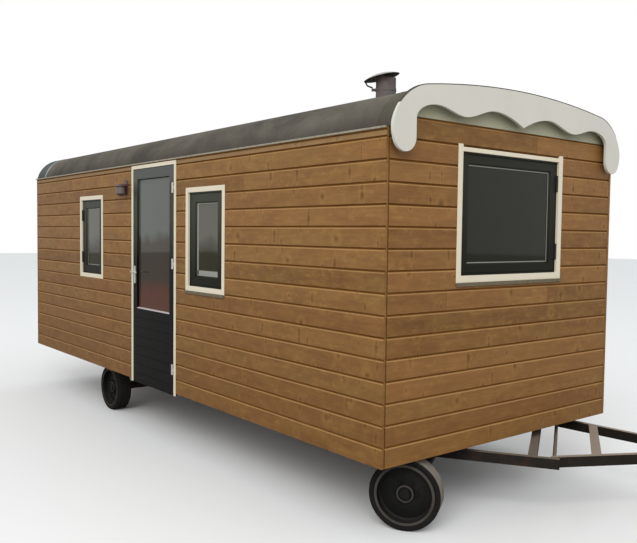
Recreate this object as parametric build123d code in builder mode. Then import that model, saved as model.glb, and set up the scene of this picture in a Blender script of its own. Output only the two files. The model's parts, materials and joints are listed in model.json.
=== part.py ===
from build123d import *
import os
from math import asin, atan2, cos, pi, radians, sin, sqrt

# Shepherds hut: a boarded timber body on a steel chassis, with four wheels, a front axle that steers
# on a turntable and a hinged A-frame drawbar, drawn swung to the far side.
# Millimetres. +X points to the window gable and the drawbar, the door side faces -Y, the ground is z = 0.

# Body
BODY_LENGTH = 6360
BODY_WIDTH = 2480
CLADDING_BOTTOM = 491
SIDE_HEIGHT = 2080
GABLE_BOARDS_ABOVE_EAVE = 80
WALL = 90
RAIL_HEIGHT = 80
RAIL_WIDTH = 50
RAIL_STEEL = 6
RAIL_SPREAD = 800
BEARER_HEIGHT = 40
BEARER_WIDTH = 60
BEARER_COUNT = 7
DECK_THICKNESS = 30

# Roof
CROWN_ABOVE_EAVE = 319
SHOULDER_BELOW_EAVE = 72
SHOULDER_RADIUS = 326
ROOF_SIDE_OVERHANG = -4
ROOF_THICKNESS = 60
ROOF_FRONT_OVERHANG = 43
ROOF_REAR_OVERHANG = 12
EAVE_STRIP_HEIGHT = 12
EAVE_STRIP_DEPTH = 16
TYMPANUM_THICKNESS = 60

# Scalloped bargeboard: the lobes' centres below the eave, then the scallop's points, out as shares
# of the way from the middle line to a lobe, up as shares of the way from the lobes to the crown
BARGE_THICKNESS = 22
BARGE_LIP = 24
LOBE_RADIUS = 92
LOBE_INSET = 24
LOBE_BELOW_EAVE = 59
LOBE_TURN = 25
NECK_ABOVE_EAVE = 40
ARCH_SPRING_UP = 0.285
OUTER_ARCH_OUT = 0.817
OUTER_ARCH_UP = 0.535
OUTER_CUSP_OUT = 0.576
OUTER_CUSP_UP = 0.417
INNER_ARCH_OUT = 0.291
INNER_ARCH_UP = 0.584
CENTRE_CUSP_UP = 0.382
CENTRE_CUSP_SLOPE = 0.5

# Windows, centres along the wall from the window gable and below the eave
SIDE_WINDOW_WIDTH = 636
SIDE_WINDOW_HEIGHT = 877
SIDE_WINDOW_BELOW_EAVE = 708
SIDE_TRIM_WIDTH = 42
SIDE_STILE = 100
SIDE_RAIL = 92
FRONT_WINDOW_FROM_GABLE = 2152
REAR_WINDOW_FROM_GABLE = 4580
GABLE_WINDOW_WIDTH = 1169
GABLE_WINDOW_HEIGHT = 910
GABLE_WINDOW_BELOW_EAVE = 506
GABLE_WINDOW_OFF_MIDDLE = 11
GABLE_TRIM_WIDTH = 47
GABLE_STILE = 85
GABLE_RAIL = 80
GABLE_HEAD_TRIM_DROP = 18
TRIM_THICKNESS = 20
TRIM_PROUD = 2
TRIM_LAP = 12
SASH_DEPTH = 62
PANE_RECESS = 34
PANE_THICKNESS = 20
SILL_STRIP_HEIGHT = 24
SILL_STRIP_DEPTH = 12

# Door, edges along the wall from the window gable
DOOR_FRONT_EDGE = 2640
DOOR_TRIM_OUTER = 905
DOOR_TRIM_WIDTH = 34
DOOR_TRIM_THICKNESS = 8
DOOR_TRIM_BELOW_EAVE = 20
DOOR_DROP = 20
DOOR_JAMB = 20
DOOR_GAP = 5
LEAF_THICKNESS = 45
LEAF_PROUD = 5
LEAF_STILE = 82
LEAF_HEAD = 92
LEAF_PANEL_TOP = 702
LEAF_BOARD = 90
LEAF_GROOVE = 6
LEAF_PANE_RECESS = 20
LEAF_PANE_THICKNESS = 18
HINGE_RADIUS = 8
HINGE_PIN_RADIUS = 4
HINGE_HEIGHT = 90
HINGE_PLATE = 2
HINGE_PLATE_WIDTH = 36
HINGE_SEAT = 1
HINGE_LOW = 212
HINGE_MIDDLE = 1152
HINGE_BELOW_TRIM_TOP = 238
LATCH_HEIGHT = 1046
LATCH_PLATE_WIDTH = 34
LATCH_PLATE_HEIGHT = 170
LATCH_PLATE_DROP = 26
LATCH_PLATE_THICKNESS = 8
LATCH_BOSS_RADIUS = 13
LATCH_NECK_RADIUS = 8
LATCH_STAND = 30
LATCH_ARM_RADIUS = 8
LATCH_ARM_LENGTH = 112

# Wall light
LIGHT_FROM_GABLE = 3669
LIGHT_BELOW_EAVE = 241
LIGHT_REACH = 62
LIGHT_PLATE_WIDTH = 64
LIGHT_PLATE_HEIGHT = 145
LIGHT_PLATE_THICKNESS = 12
LIGHT_PLATE_RISE = 24
LIGHT_ARM_RADIUS = 11
LIGHT_CAP_RADIUS = 58
LIGHT_CAP_LIP = 5
LIGHT_CAP_HEIGHT = 26
LIGHT_NECK_RADIUS = 18
LIGHT_GLASS_RADIUS = 47
LIGHT_GLASS_HEIGHT = 60
LIGHT_RING_RADIUS = 52
LIGHT_RING_HEIGHT = 8
LIGHT_BOWL_DEPTH = 24

# Flue, placed from the window gable and from the hut's middle line
FLUE_FROM_GABLE = 583
FLUE_OFF_MIDDLE = 700
FLUE_RADIUS = 70
FLUE_WALL = 4
FLUE_HEIGHT = 156
CLAMP_HEIGHT = 20
CLAMP_ABOVE_FOOT = 66
CLAMP_THICKNESS = 3
CLAMP_EAR = 30
COWL_RADIUS = 127
COWL_THICKNESS = 4
COWL_RISE = 29
COWL_ABOVE_FOOT = 162
COWL_SHIFT = 30
COWL_TILT = 13
COWL_LEGS = 3
COWL_LEG_WIDTH = 18
COWL_LEG_THICKNESS = 4
STRAP_BEARING = 231
STRAP_WIDTH = 14
STRAP_THICKNESS = 8
STRAP_DROP = 29
STRAP_RAKE = 16

# Wheels
WHEEL_RADIUS = 238
TYRE_WIDTH = 150
TYRE_SHOULDER = 24
TYRE_BEAD_WIDTH = 132
RIM_SEAT_RADIUS = 190
RIM_LIP_RADIUS = 200
RIM_LIP_WIDTH = 6
RIM_STEEL = 8
DISC_OFFSET = 22
HUB_RADIUS = 52
HUB_HALF_LENGTH = 58
HUB_CAP_RADIUS = 38
HUB_CAP_LENGTH = 16
STUB_RADIUS = 25
STUB_CLEARANCE = 0.05
TRACK_INSET = 128
SEAT_GAP = 0.3
AXLE_BEAM = 70
AXLE_END_GAP = 6
PEDESTAL_TOP_LENGTH = 220
PEDESTAL_FOOT_LENGTH = 110
PEDESTAL_WIDTH = 50

# Running gear, distances ahead of the turntable's centre
STEER_ANGLE = 33
PIVOT_FROM_GABLE = 712
REAR_AXLE_FROM_GABLE = 4407
RING_RADIUS = 395
RING_WIDTH = 70
RING_THICKNESS = 24.5
RING_GAP = 1
MEMBER_HEIGHT = 70
MEMBER_WIDTH = 42
MEMBER_STEEL = 7
MEMBER_OUTER = 641
MEMBER_REAR = 330
CROSS_WIDTH = 60
CROSS_SPREAD = 280
FRONT_CROSS = 770
HINGE_LINE = 913
KINGPIN_RADIUS = 25
KINGPIN_HEAD_RADIUS = 44
KINGPIN_HEAD_HEIGHT = 12
HINGE_ROD_RADIUS = 13
ROD_CLEARANCE = 0.05
EYE_WIDTH = 34
SIDE_CLEARANCE = 5
DRAWBAR_REACH = 1954
LEG_WIDTH = 42
CROSSBAR_AHEAD = 274
CROSSBAR_WIDTH = 64
CROSSBAR_THICKNESS = 12
SHANK_WIDTH = 60
SHANK_LENGTH = 150
TOW_RING_RADIUS = 44
TOW_BORE_RADIUS = 20
TOW_RING_THICKNESS = 32

# Places worked out from the sizes above
MID_Y = (LIGHT_REACH + LIGHT_CAP_RADIUS - ROOF_SIDE_OVERHANG - BARGE_LIP) / 2
STEER = radians(STEER_ANGLE)
TOW_CENTRE = DRAWBAR_REACH + TOW_RING_RADIUS
TOW_TIP_AHEAD = TOW_CENTRE * cos(STEER) + TOW_RING_RADIUS - PIVOT_FROM_GABLE
FRONT_X = (BODY_LENGTH + ROOF_REAR_OVERHANG - TOW_TIP_AHEAD) / 2
REAR_X = FRONT_X - BODY_LENGTH
PIVOT_X = FRONT_X - PIVOT_FROM_GABLE
REAR_AXLE_X = FRONT_X - REAR_AXLE_FROM_GABLE
HALF_WIDTH = BODY_WIDTH / 2
TRACK_OUTER = HALF_WIDTH - TRACK_INSET
EAVE_Z = CLADDING_BOTTOM + SIDE_HEIGHT
GABLE_TOP_Z = EAVE_Z + GABLE_BOARDS_ABOVE_EAVE
CROWN_Z = EAVE_Z + CROWN_ABOVE_EAVE
SHOULDER_Z = EAVE_Z - SHOULDER_BELOW_EAVE
RAIL_TOP = CLADDING_BOTTOM + RAIL_HEIGHT
DECK_BOTTOM = RAIL_TOP + BEARER_HEIGHT
FLOOR_TOP = DECK_BOTTOM + DECK_THICKNESS
SHOULDER_Y = HALF_WIDTH + ROOF_SIDE_OVERHANG - SHOULDER_RADIUS
CROWN_DROP = CROWN_Z - SHOULDER_Z - SHOULDER_RADIUS
CROWN_RADIUS = (SHOULDER_Y**2 + CROWN_DROP**2) / (2 * CROWN_DROP) + SHOULDER_RADIUS
CROWN_CENTRE_Z = CROWN_Z - CROWN_RADIUS
BLEND_ANGLE = asin(SHOULDER_Y / (CROWN_RADIUS - SHOULDER_RADIUS))

near_face = Plane(origin=(0, MID_Y - HALF_WIDTH, 0), x_dir=(1, 0, 0), z_dir=(0, -1, 0))
far_face = Plane(origin=(0, MID_Y + HALF_WIDTH, 0), x_dir=(-1, 0, 0), z_dir=(0, 1, 0))
front_face = Plane(origin=(FRONT_X, MID_Y, 0), x_dir=(0, 1, 0), z_dir=(1, 0, 0))
bogie_plane = Plane(origin=(PIVOT_X, MID_Y, 0), x_dir=(cos(STEER), sin(STEER), 0), z_dir=(0, 0, 1))
rear_gear_plane = Plane(origin=(REAR_AXLE_X, MID_Y, 0), x_dir=(1, 0, 0), z_dir=(0, 0, 1))

os.makedirs("parts", exist_ok=True)


def finish(name, label):
    """Names the finished piece and writes it as its own file."""
    name.part.label = label
    export_step(name.part, f"parts/{label}.step")


def cross_plane(x):
    """Upright plane across the hut at x, with its middle line at local x = 0."""
    return Plane(origin=(x, MID_Y, 0), x_dir=(0, 1, 0), z_dir=(1, 0, 0))


def flat_box(x0, x1, y0, y1):
    """Rectangle in a level sketch from corner to corner, y measured from the hut's middle line."""
    with Locations(((x0 + x1) / 2, MID_Y + (y0 + y1) / 2)):
        Rectangle(x1 - x0, y1 - y0)


def upright_rect(x0, x1, z0, z1, mode=Mode.ADD):
    """Rectangle in an upright sketch from corner to corner."""
    with Locations(((x0 + x1) / 2, (z0 + z1) / 2)):
        Rectangle(x1 - x0, z1 - z0, mode=mode)


# Roof curve: two tight shoulders joined by a wide crown arc

def foot_y(inset, height):
    """How far from the middle line the roof curve is at a height on its shoulder."""
    radius = SHOULDER_RADIUS - inset
    return SHOULDER_Y + sqrt(radius**2 - (height - SHOULDER_Z) ** 2)


def roof_curve(inset, foot_height):
    """Draws the roof curve from foot to foot, a given depth under the outer skin."""
    radius = SHOULDER_RADIUS - inset
    foot = (foot_y(inset, foot_height), foot_height)
    foot_angle = asin((foot_height - SHOULDER_Z) / radius)
    blend_angle = pi / 2 - BLEND_ANGLE
    middle = (foot_angle + blend_angle) / 2
    bend = (SHOULDER_Y + radius * cos(middle), SHOULDER_Z + radius * sin(middle))
    blend = (SHOULDER_Y + radius * cos(blend_angle), SHOULDER_Z + radius * sin(blend_angle))
    crown = (0, CROWN_Z - inset)
    ThreePointArc(foot, bend, blend)
    ThreePointArc(blend, crown, (-blend[0], blend[1]))
    ThreePointArc((-blend[0], blend[1]), (-bend[0], bend[1]), (-foot[0], foot[1]))


with BuildPart() as roof_shell:
    with BuildSketch(cross_plane(REAR_X - ROOF_REAR_OVERHANG)):
        with BuildLine():
            roof_curve(0, EAVE_Z)
            Line((-foot_y(0, EAVE_Z), EAVE_Z), (-foot_y(ROOF_THICKNESS, EAVE_Z), EAVE_Z))
            roof_curve(ROOF_THICKNESS, EAVE_Z)
            Line((foot_y(ROOF_THICKNESS, EAVE_Z), EAVE_Z), (foot_y(0, EAVE_Z), EAVE_Z))
        make_face()
    extrude(amount=BODY_LENGTH + ROOF_REAR_OVERHANG + ROOF_FRONT_OVERHANG)
finish(roof_shell, "roof_shell")


def gable_outline(top_z):
    """Gable wall outline: square to the eave, then under the roof, cut level at top_z."""
    inner = foot_y(ROOF_THICKNESS, EAVE_Z)
    with BuildLine() as outline:
        Polyline((inner, EAVE_Z), (HALF_WIDTH, EAVE_Z), (HALF_WIDTH, CLADDING_BOTTOM),
                 (-HALF_WIDTH, CLADDING_BOTTOM), (-HALF_WIDTH, EAVE_Z), (-inner, EAVE_Z))
        roof_curve(ROOF_THICKNESS, EAVE_Z)
    make_face(outline.edges())
    upright_rect(-BODY_WIDTH, BODY_WIDTH, top_z, top_z + BODY_WIDTH, Mode.SUBTRACT)


# Each window: wall plane, centre along the plane, centre height, width, height, trim, stile and rail widths
SIDE_BARS = (SIDE_TRIM_WIDTH, SIDE_STILE, SIDE_RAIL)
SIDE_SIZE = (SIDE_WINDOW_WIDTH, SIDE_WINDOW_HEIGHT)
GABLE_BARS = (GABLE_TRIM_WIDTH, GABLE_STILE, GABLE_RAIL)
window_z = EAVE_Z - SIDE_WINDOW_BELOW_EAVE
front_window_x = FRONT_X - FRONT_WINDOW_FROM_GABLE
rear_window_x = FRONT_X - REAR_WINDOW_FROM_GABLE
near_front_window = (near_face, front_window_x, window_z, *SIDE_SIZE, *SIDE_BARS)
near_rear_window = (near_face, rear_window_x, window_z, *SIDE_SIZE, *SIDE_BARS)
far_front_window = (far_face, -front_window_x, window_z, *SIDE_SIZE, *SIDE_BARS)
far_rear_window = (far_face, -rear_window_x, window_z, *SIDE_SIZE, *SIDE_BARS)
far_windows = (far_front_window, far_rear_window)
gable_window_z = EAVE_Z - GABLE_WINDOW_BELOW_EAVE
gable_window = (front_face, -GABLE_WINDOW_OFF_MIDDLE, gable_window_z, GABLE_WINDOW_WIDTH,
                GABLE_WINDOW_HEIGHT, *GABLE_BARS)


def window_hole(window):
    """The opening for a window, as a rectangle taken out of a wall sketch."""
    _, x, z, width, height, trim, _, _ = window
    with Locations((x, z)):
        Rectangle(width - 2 * (trim - TRIM_LAP), height - 2 * (trim - TRIM_LAP), mode=Mode.SUBTRACT)


def window_node(shape, windows, label):
    """One node that holds the same piece of each listed window."""
    with BuildPart() as pieces:
        for window in windows:
            shape(window)
    finish(pieces, label)
    return pieces


# Window trim boards, let into the walls so that they stand a little proud of the cladding

def trim_ring(window):
    """Trim boards round a window."""
    plane, x, z, width, height, trim, _, _ = window
    with BuildSketch(plane.offset(TRIM_PROUD - TRIM_THICKNESS)) as boards:
        with Locations((x, z)):
            Rectangle(width, height)
            Rectangle(width - 2 * trim, height - 2 * trim, mode=Mode.SUBTRACT)
    extrude(boards.sketch, amount=TRIM_THICKNESS)


def lowered_head_trim_ring(window):
    """Trim boards whose head board sits a little below the side boards' ends."""
    plane, x, z, width, height, trim, _, _ = window
    trim_ring(window)
    with BuildSketch(plane.offset(TRIM_PROUD - TRIM_THICKNESS)) as gap:
        with Locations((x, z + (height - GABLE_HEAD_TRIM_DROP) / 2)):
            Rectangle(width - 2 * trim, GABLE_HEAD_TRIM_DROP)
    extrude(gap.sketch, amount=TRIM_THICKNESS, mode=Mode.SUBTRACT)


front_window_trim = window_node(trim_ring, (near_front_window,), "front_window_trim")
rear_window_trim = window_node(trim_ring, (near_rear_window,), "rear_window_trim")
far_window_trims = window_node(trim_ring, far_windows, "far_window_trims")
gable_window_trim = window_node(lowered_head_trim_ring, (gable_window,), "gable_window_trim")


# Body walls

with BuildPart() as front_gable_wall:
    with BuildSketch(front_face):
        gable_outline(GABLE_TOP_Z)
        window_hole(gable_window)
    extrude(amount=-WALL)
    add(gable_window_trim.part, mode=Mode.SUBTRACT)
finish(front_gable_wall, "front_gable_wall")

with BuildPart() as rear_gable_wall:
    with BuildSketch(cross_plane(REAR_X)):
        gable_outline(CROWN_Z)
    extrude(amount=WALL)
finish(rear_gable_wall, "rear_gable_wall")

with BuildPart() as front_tympanum:
    with BuildSketch(front_face):
        gable_outline(CROWN_Z)
        upright_rect(-BODY_WIDTH, BODY_WIDTH, 0, GABLE_TOP_Z, Mode.SUBTRACT)
    extrude(amount=-TYMPANUM_THICKNESS)
finish(front_tympanum, "front_tympanum")

door_front_x = FRONT_X - DOOR_FRONT_EDGE
door_rear_x = door_front_x - DOOR_TRIM_OUTER
door_trim_top_z = EAVE_Z - DOOR_TRIM_BELOW_EAVE
clear_front_x = door_front_x - DOOR_TRIM_WIDTH
clear_rear_x = door_rear_x + DOOR_TRIM_WIDTH
clear_top_z = door_trim_top_z - DOOR_TRIM_WIDTH
wall_front_x = clear_front_x + DOOR_JAMB
wall_rear_x = clear_rear_x - DOOR_JAMB
wall_head_z = clear_top_z + DOOR_JAMB

with BuildPart() as side_wall_front:
    with BuildSketch(near_face):
        upright_rect(wall_front_x, FRONT_X - WALL, CLADDING_BOTTOM, EAVE_Z)
        window_hole(near_front_window)
    extrude(amount=-WALL)
    add(front_window_trim.part, mode=Mode.SUBTRACT)
finish(side_wall_front, "side_wall_front")

with BuildPart() as side_wall_rear:
    with BuildSketch(near_face):
        upright_rect(REAR_X + WALL, wall_rear_x, CLADDING_BOTTOM, EAVE_Z)
        window_hole(near_rear_window)
    extrude(amount=-WALL)
    add(rear_window_trim.part, mode=Mode.SUBTRACT)
finish(side_wall_rear, "side_wall_rear")

with BuildPart() as wall_over_door:
    with BuildSketch(near_face):
        upright_rect(wall_rear_x, wall_front_x, wall_head_z, EAVE_Z)
    extrude(amount=-WALL)
finish(wall_over_door, "wall_over_door")

with BuildPart() as far_side_wall:
    with BuildSketch(far_face):
        upright_rect(-(FRONT_X - WALL), -(REAR_X + WALL), CLADDING_BOTTOM, EAVE_Z)
        window_hole(far_front_window)
        window_hole(far_rear_window)
    extrude(amount=-WALL)
    add(far_window_trims.part, mode=Mode.SUBTRACT)
finish(far_side_wall, "far_side_wall")


# Floor and chassis

INNER_HALF = HALF_WIDTH - WALL
INNER_REAR = REAR_X + WALL
INNER_FRONT = FRONT_X - WALL

with BuildPart() as floor_deck:
    with BuildSketch(Plane.XY.offset(DECK_BOTTOM)):
        flat_box(INNER_REAR, INNER_FRONT, -INNER_HALF, INNER_HALF)
    extrude(amount=DECK_THICKNESS)
finish(floor_deck, "floor_deck")

bearer_pitch = (INNER_FRONT - INNER_REAR - BEARER_WIDTH) / (BEARER_COUNT - 1)
with BuildPart() as chassis_bearers:
    with BuildSketch(Plane.XY.offset(RAIL_TOP)):
        with Locations(((INNER_FRONT + INNER_REAR) / 2, MID_Y)):
            with GridLocations(bearer_pitch, 0, BEARER_COUNT, 1):
                Rectangle(BEARER_WIDTH, 2 * INNER_HALF)
    extrude(amount=BEARER_HEIGHT)
finish(chassis_bearers, "chassis_bearers")


def channel_profile(height, width, steel, facing):
    """Channel section standing on local y = 0, centred on x = 0, open to +x or -x."""
    upright_rect(-width / 2, width / 2, 0, height)
    inner_start = -width / 2 + steel if facing > 0 else -width / 2
    inner_end = width / 2 if facing > 0 else width / 2 - steel
    upright_rect(inner_start, inner_end, steel, height - steel, Mode.SUBTRACT)


def chassis_rail(side, label):
    """Long channel under the floor, open towards the middle of the hut."""
    place = Plane(origin=(INNER_REAR, MID_Y + side * RAIL_SPREAD / 2, CLADDING_BOTTOM),
                  x_dir=(0, 1, 0), z_dir=(1, 0, 0))
    with BuildPart() as rail:
        with BuildSketch(place):
            channel_profile(RAIL_HEIGHT, RAIL_WIDTH, RAIL_STEEL, -side)
        extrude(amount=INNER_FRONT - INNER_REAR)
    finish(rail, label)


chassis_rail(-1, "chassis_near_rail")
chassis_rail(1, "chassis_far_rail")


# Bargeboard: follows the roof and ends in round lobes, with a scalloped lower edge

LOBE_Y = HALF_WIDTH + ROOF_SIDE_OVERHANG + BARGE_LIP - LOBE_INSET - LOBE_RADIUS
LOBE_INNER = LOBE_Y - LOBE_RADIUS
LOBE_Z = EAVE_Z - LOBE_BELOW_EAVE
BARGE_TOP_Z = CROWN_Z + BARGE_LIP
NECK_Z = EAVE_Z + NECK_ABOVE_EAVE


def scallop_point(side, out, up):
    """Point of the scallop from its shares of the way out to the lobe and up to the crown."""
    return (side * out * LOBE_INNER, LOBE_Z + up * (BARGE_TOP_Z - LOBE_Z))


def scallop(side):
    """Lower edge of one half, from the lobe's inner side to the centre cusp."""
    inward = (-side, 0)
    spring = scallop_point(side, 1, ARCH_SPRING_UP)
    outer_arch = scallop_point(side, OUTER_ARCH_OUT, OUTER_ARCH_UP)
    cusp = scallop_point(side, OUTER_CUSP_OUT, OUTER_CUSP_UP)
    inner_arch = scallop_point(side, INNER_ARCH_OUT, INNER_ARCH_UP)
    centre = scallop_point(side, 0, CENTRE_CUSP_UP)
    haunch_x = outer_arch[0] + (spring[0] - outer_arch[0]) * cos(pi / 4)
    haunch_z = spring[1] + (outer_arch[1] - spring[1]) * sin(pi / 4)
    Line((side * LOBE_INNER, LOBE_Z), spring)
    Spline(spring, (haunch_x, haunch_z), outer_arch, tangents=[(0, 1), inward])
    Spline(outer_arch, cusp, tangents=[inward, inward])
    Spline(cusp, inner_arch, tangents=[inward, inward])
    Spline(inner_arch, centre, tangents=[inward, (-side, -CENTRE_CUSP_SLOPE)])


with BuildPart() as barge_board:
    with BuildSketch(front_face.offset(ROOF_FRONT_OVERHANG)):
        with BuildLine():
            roof_curve(-BARGE_LIP, NECK_Z)
            neck_turn = asin((NECK_Z - SHOULDER_Z) / (SHOULDER_RADIUS + BARGE_LIP))
            lobe_turn = radians(LOBE_TURN)
            for side in (-1, 1):
                neck = (side * foot_y(-BARGE_LIP, NECK_Z), NECK_Z)
                outer_y = LOBE_Y + LOBE_RADIUS * cos(lobe_turn)
                outer = (side * outer_y, LOBE_Z - LOBE_RADIUS * sin(lobe_turn))
                low = (side * LOBE_Y, LOBE_Z - LOBE_RADIUS)
                inner = (side * LOBE_INNER, LOBE_Z)
                Spline(neck, outer, tangents=[(side * sin(neck_turn), -cos(neck_turn)),
                                              (-side * sin(lobe_turn), -cos(lobe_turn))])
                ThreePointArc(outer, low, inner)
                scallop(side)
        make_face()
    extrude(amount=BARGE_THICKNESS)
finish(barge_board, "barge_board")

with BuildPart() as eave_strips:
    with BuildSketch(cross_plane(REAR_X)):
        for side in (-1, 1):
            with Locations((side * (HALF_WIDTH + EAVE_STRIP_DEPTH / 2), EAVE_Z - EAVE_STRIP_HEIGHT / 2)):
                Rectangle(EAVE_STRIP_DEPTH, EAVE_STRIP_HEIGHT)
    extrude(amount=BODY_LENGTH)
finish(eave_strips, "eave_strips")


# Windows: dark frame behind the trim, pane, and flashing under the sill

def sash_ring(window):
    """Window frame that fills the opening in the wall behind the trim, with its bars' own widths."""
    plane, x, z, width, height, trim, stile, rail = window
    with BuildSketch(plane.offset(-SASH_DEPTH)) as bars:
        with Locations((x, z)):
            Rectangle(width - 2 * (trim - TRIM_LAP), height - 2 * (trim - TRIM_LAP))
            Rectangle(width - 2 * (trim + stile), height - 2 * (trim + rail), mode=Mode.SUBTRACT)
    extrude(bars.sketch, amount=SASH_DEPTH - TRIM_THICKNESS + TRIM_PROUD)


def pane(window):
    """Glazing unit set back inside its frame."""
    plane, x, z, width, height, trim, stile, rail = window
    with BuildSketch(plane.offset(-PANE_RECESS - PANE_THICKNESS)) as glass:
        with Locations((x, z)):
            Rectangle(width - 2 * (trim + stile), height - 2 * (trim + rail))
    extrude(glass.sketch, amount=PANE_THICKNESS)


def sill_strip(window):
    """Folded flashing strip under the lower trim board."""
    plane, x, z, width, height, _, _, _ = window
    with BuildSketch(plane) as strip:
        with Locations((x, z - height / 2 - SILL_STRIP_HEIGHT / 2)):
            Rectangle(width, SILL_STRIP_HEIGHT)
    extrude(strip.sketch, amount=SILL_STRIP_DEPTH)


window_node(sash_ring, (near_front_window,), "front_window_frame")
window_node(sash_ring, (near_rear_window,), "rear_window_frame")
window_node(sash_ring, (gable_window,), "gable_window_frame")
window_node(sash_ring, far_windows, "far_window_frames")
window_node(pane, (near_front_window, near_rear_window, gable_window) + far_windows, "window_panes")
window_node(sill_strip, (near_front_window, gable_window, far_front_window), "window_flashings")


# Door: trim boards, jambs with a threshold, leaf with glass over boards, hinges and latch

leaf_front_x = clear_front_x - DOOR_GAP
leaf_rear_x = clear_rear_x + DOOR_GAP
leaf_top_z = clear_top_z - DOOR_GAP
leaf_bottom_z = CLADDING_BOTTOM - DOOR_DROP
leaf_pane_top_z = leaf_top_z - LEAF_HEAD
leaf_pane_bottom_z = CLADDING_BOTTOM + LEAF_PANEL_TOP
threshold_depth = WALL - (LEAF_THICKNESS - LEAF_PROUD) - DOOR_GAP

with BuildPart() as door_trim:
    with BuildSketch(near_face):
        upright_rect(door_rear_x, door_front_x, leaf_bottom_z, door_trim_top_z)
        upright_rect(clear_rear_x, clear_front_x, leaf_bottom_z, clear_top_z, Mode.SUBTRACT)
    extrude(amount=DOOR_TRIM_THICKNESS)
finish(door_trim, "door_trim")

with BuildPart() as door_frame:
    with BuildSketch(near_face):
        upright_rect(wall_rear_x, wall_front_x, CLADDING_BOTTOM, wall_head_z)
        upright_rect(clear_rear_x, clear_front_x, CLADDING_BOTTOM, clear_top_z, Mode.SUBTRACT)
    extrude(amount=-WALL)
    with BuildSketch(near_face.offset(-WALL)):
        upright_rect(clear_rear_x, clear_front_x, CLADDING_BOTTOM, FLOOR_TOP)
    extrude(amount=threshold_depth)
finish(door_frame, "door_frame")

with BuildPart() as door_leaf:
    with BuildSketch(near_face.offset(LEAF_PROUD)):
        upright_rect(leaf_rear_x, leaf_front_x, leaf_bottom_z, leaf_top_z)
        upright_rect(leaf_rear_x + LEAF_STILE, leaf_front_x - LEAF_STILE,
                     leaf_pane_bottom_z, leaf_pane_top_z, Mode.SUBTRACT)
    extrude(amount=-LEAF_THICKNESS)
    with BuildSketch(near_face.offset(LEAF_PROUD)):
        groove_z = leaf_pane_bottom_z - LEAF_BOARD
        while groove_z > leaf_bottom_z + LEAF_BOARD / 2:
            with Locations(((leaf_rear_x + leaf_front_x) / 2, groove_z)):
                Rectangle(leaf_front_x - leaf_rear_x - 2 * LEAF_STILE, LEAF_GROOVE)
            groove_z -= LEAF_BOARD
    extrude(amount=-LEAF_GROOVE, mode=Mode.SUBTRACT)
finish(door_leaf, "door_leaf")

with BuildPart() as door_pane:
    with BuildSketch(near_face.offset(LEAF_PROUD - LEAF_PANE_RECESS)):
        upright_rect(leaf_rear_x + LEAF_STILE, leaf_front_x - LEAF_STILE,
                     leaf_pane_bottom_z, leaf_pane_top_z)
    extrude(amount=-LEAF_PANE_THICKNESS)
finish(door_pane, "door_pane")

hinge_x = clear_front_x - HINGE_SEAT - HINGE_RADIUS
hinge_stand = LEAF_PROUD + HINGE_SEAT + HINGE_RADIUS
hinge_y = MID_Y - HALF_WIDTH - hinge_stand
knuckle = HINGE_HEIGHT / 3
hinge_levels = (CLADDING_BOTTOM + HINGE_LOW, CLADDING_BOTTOM + HINGE_MIDDLE,
                door_trim_top_z - HINGE_BELOW_TRIM_TOP)

with BuildPart() as door_hinges:
    for level in hinge_levels:
        base = level - HINGE_HEIGHT / 2
        plate_y = MID_Y - HALF_WIDTH - LEAF_PROUD - HINGE_PLATE
        plate_x = hinge_x - HINGE_PLATE_WIDTH
        with BuildSketch(Plane.XY.offset(base)):
            with BuildLine():
                Polyline((plate_x, plate_y), (hinge_x, plate_y), (hinge_x, plate_y + HINGE_PLATE),
                         (plate_x, plate_y + HINGE_PLATE), close=True)
            make_face()
            with Locations((hinge_x, hinge_y)):
                Circle(HINGE_RADIUS)
            with Locations((hinge_x - HINGE_RADIUS / 2, (hinge_y + plate_y + HINGE_PLATE) / 2)):
                Rectangle(HINGE_RADIUS, plate_y + HINGE_PLATE - hinge_y)
        extrude(amount=HINGE_HEIGHT)
        with BuildSketch(Plane.XY.offset(base + knuckle - HINGE_SEAT / 2)):
            with Locations((hinge_x, hinge_y)):
                Circle(HINGE_RADIUS + HINGE_SEAT)
        extrude(amount=knuckle + HINGE_SEAT, mode=Mode.SUBTRACT)
        with BuildSketch(Plane.XY.offset(base)):
            with Locations((hinge_x, hinge_y)):
                Circle(HINGE_PIN_RADIUS + ROD_CLEARANCE)
        extrude(amount=HINGE_HEIGHT, mode=Mode.SUBTRACT)
finish(door_hinges, "door_hinges")

with BuildPart() as door_hinge_pins:
    for level in hinge_levels:
        base = level - HINGE_HEIGHT / 2
        jamb_y = MID_Y - HALF_WIDTH + LEAF_THICKNESS / 2
        with BuildSketch(Plane.XY.offset(base + knuckle)):
            with Locations((hinge_x, hinge_y)):
                Circle(HINGE_RADIUS)
            with Locations(((hinge_x + clear_front_x) / 2, hinge_y)):
                Rectangle(clear_front_x - hinge_x, HINGE_PLATE)
            with Locations((clear_front_x - HINGE_PLATE / 2, (hinge_y + jamb_y) / 2)):
                Rectangle(HINGE_PLATE, jamb_y - hinge_y + HINGE_PLATE)
        extrude(amount=knuckle)
        with BuildSketch(Plane.XY.offset(base)):
            with Locations((hinge_x, hinge_y)):
                Circle(HINGE_PIN_RADIUS)
        extrude(amount=HINGE_HEIGHT)
finish(door_hinge_pins, "door_hinge_pins")

latch_x = leaf_rear_x + LEAF_STILE / 2
latch_z = CLADDING_BOTTOM + LATCH_HEIGHT
leaf_face = near_face.offset(LEAF_PROUD)
neck_bore_radius = LATCH_NECK_RADIUS + ROD_CLEARANCE

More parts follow.
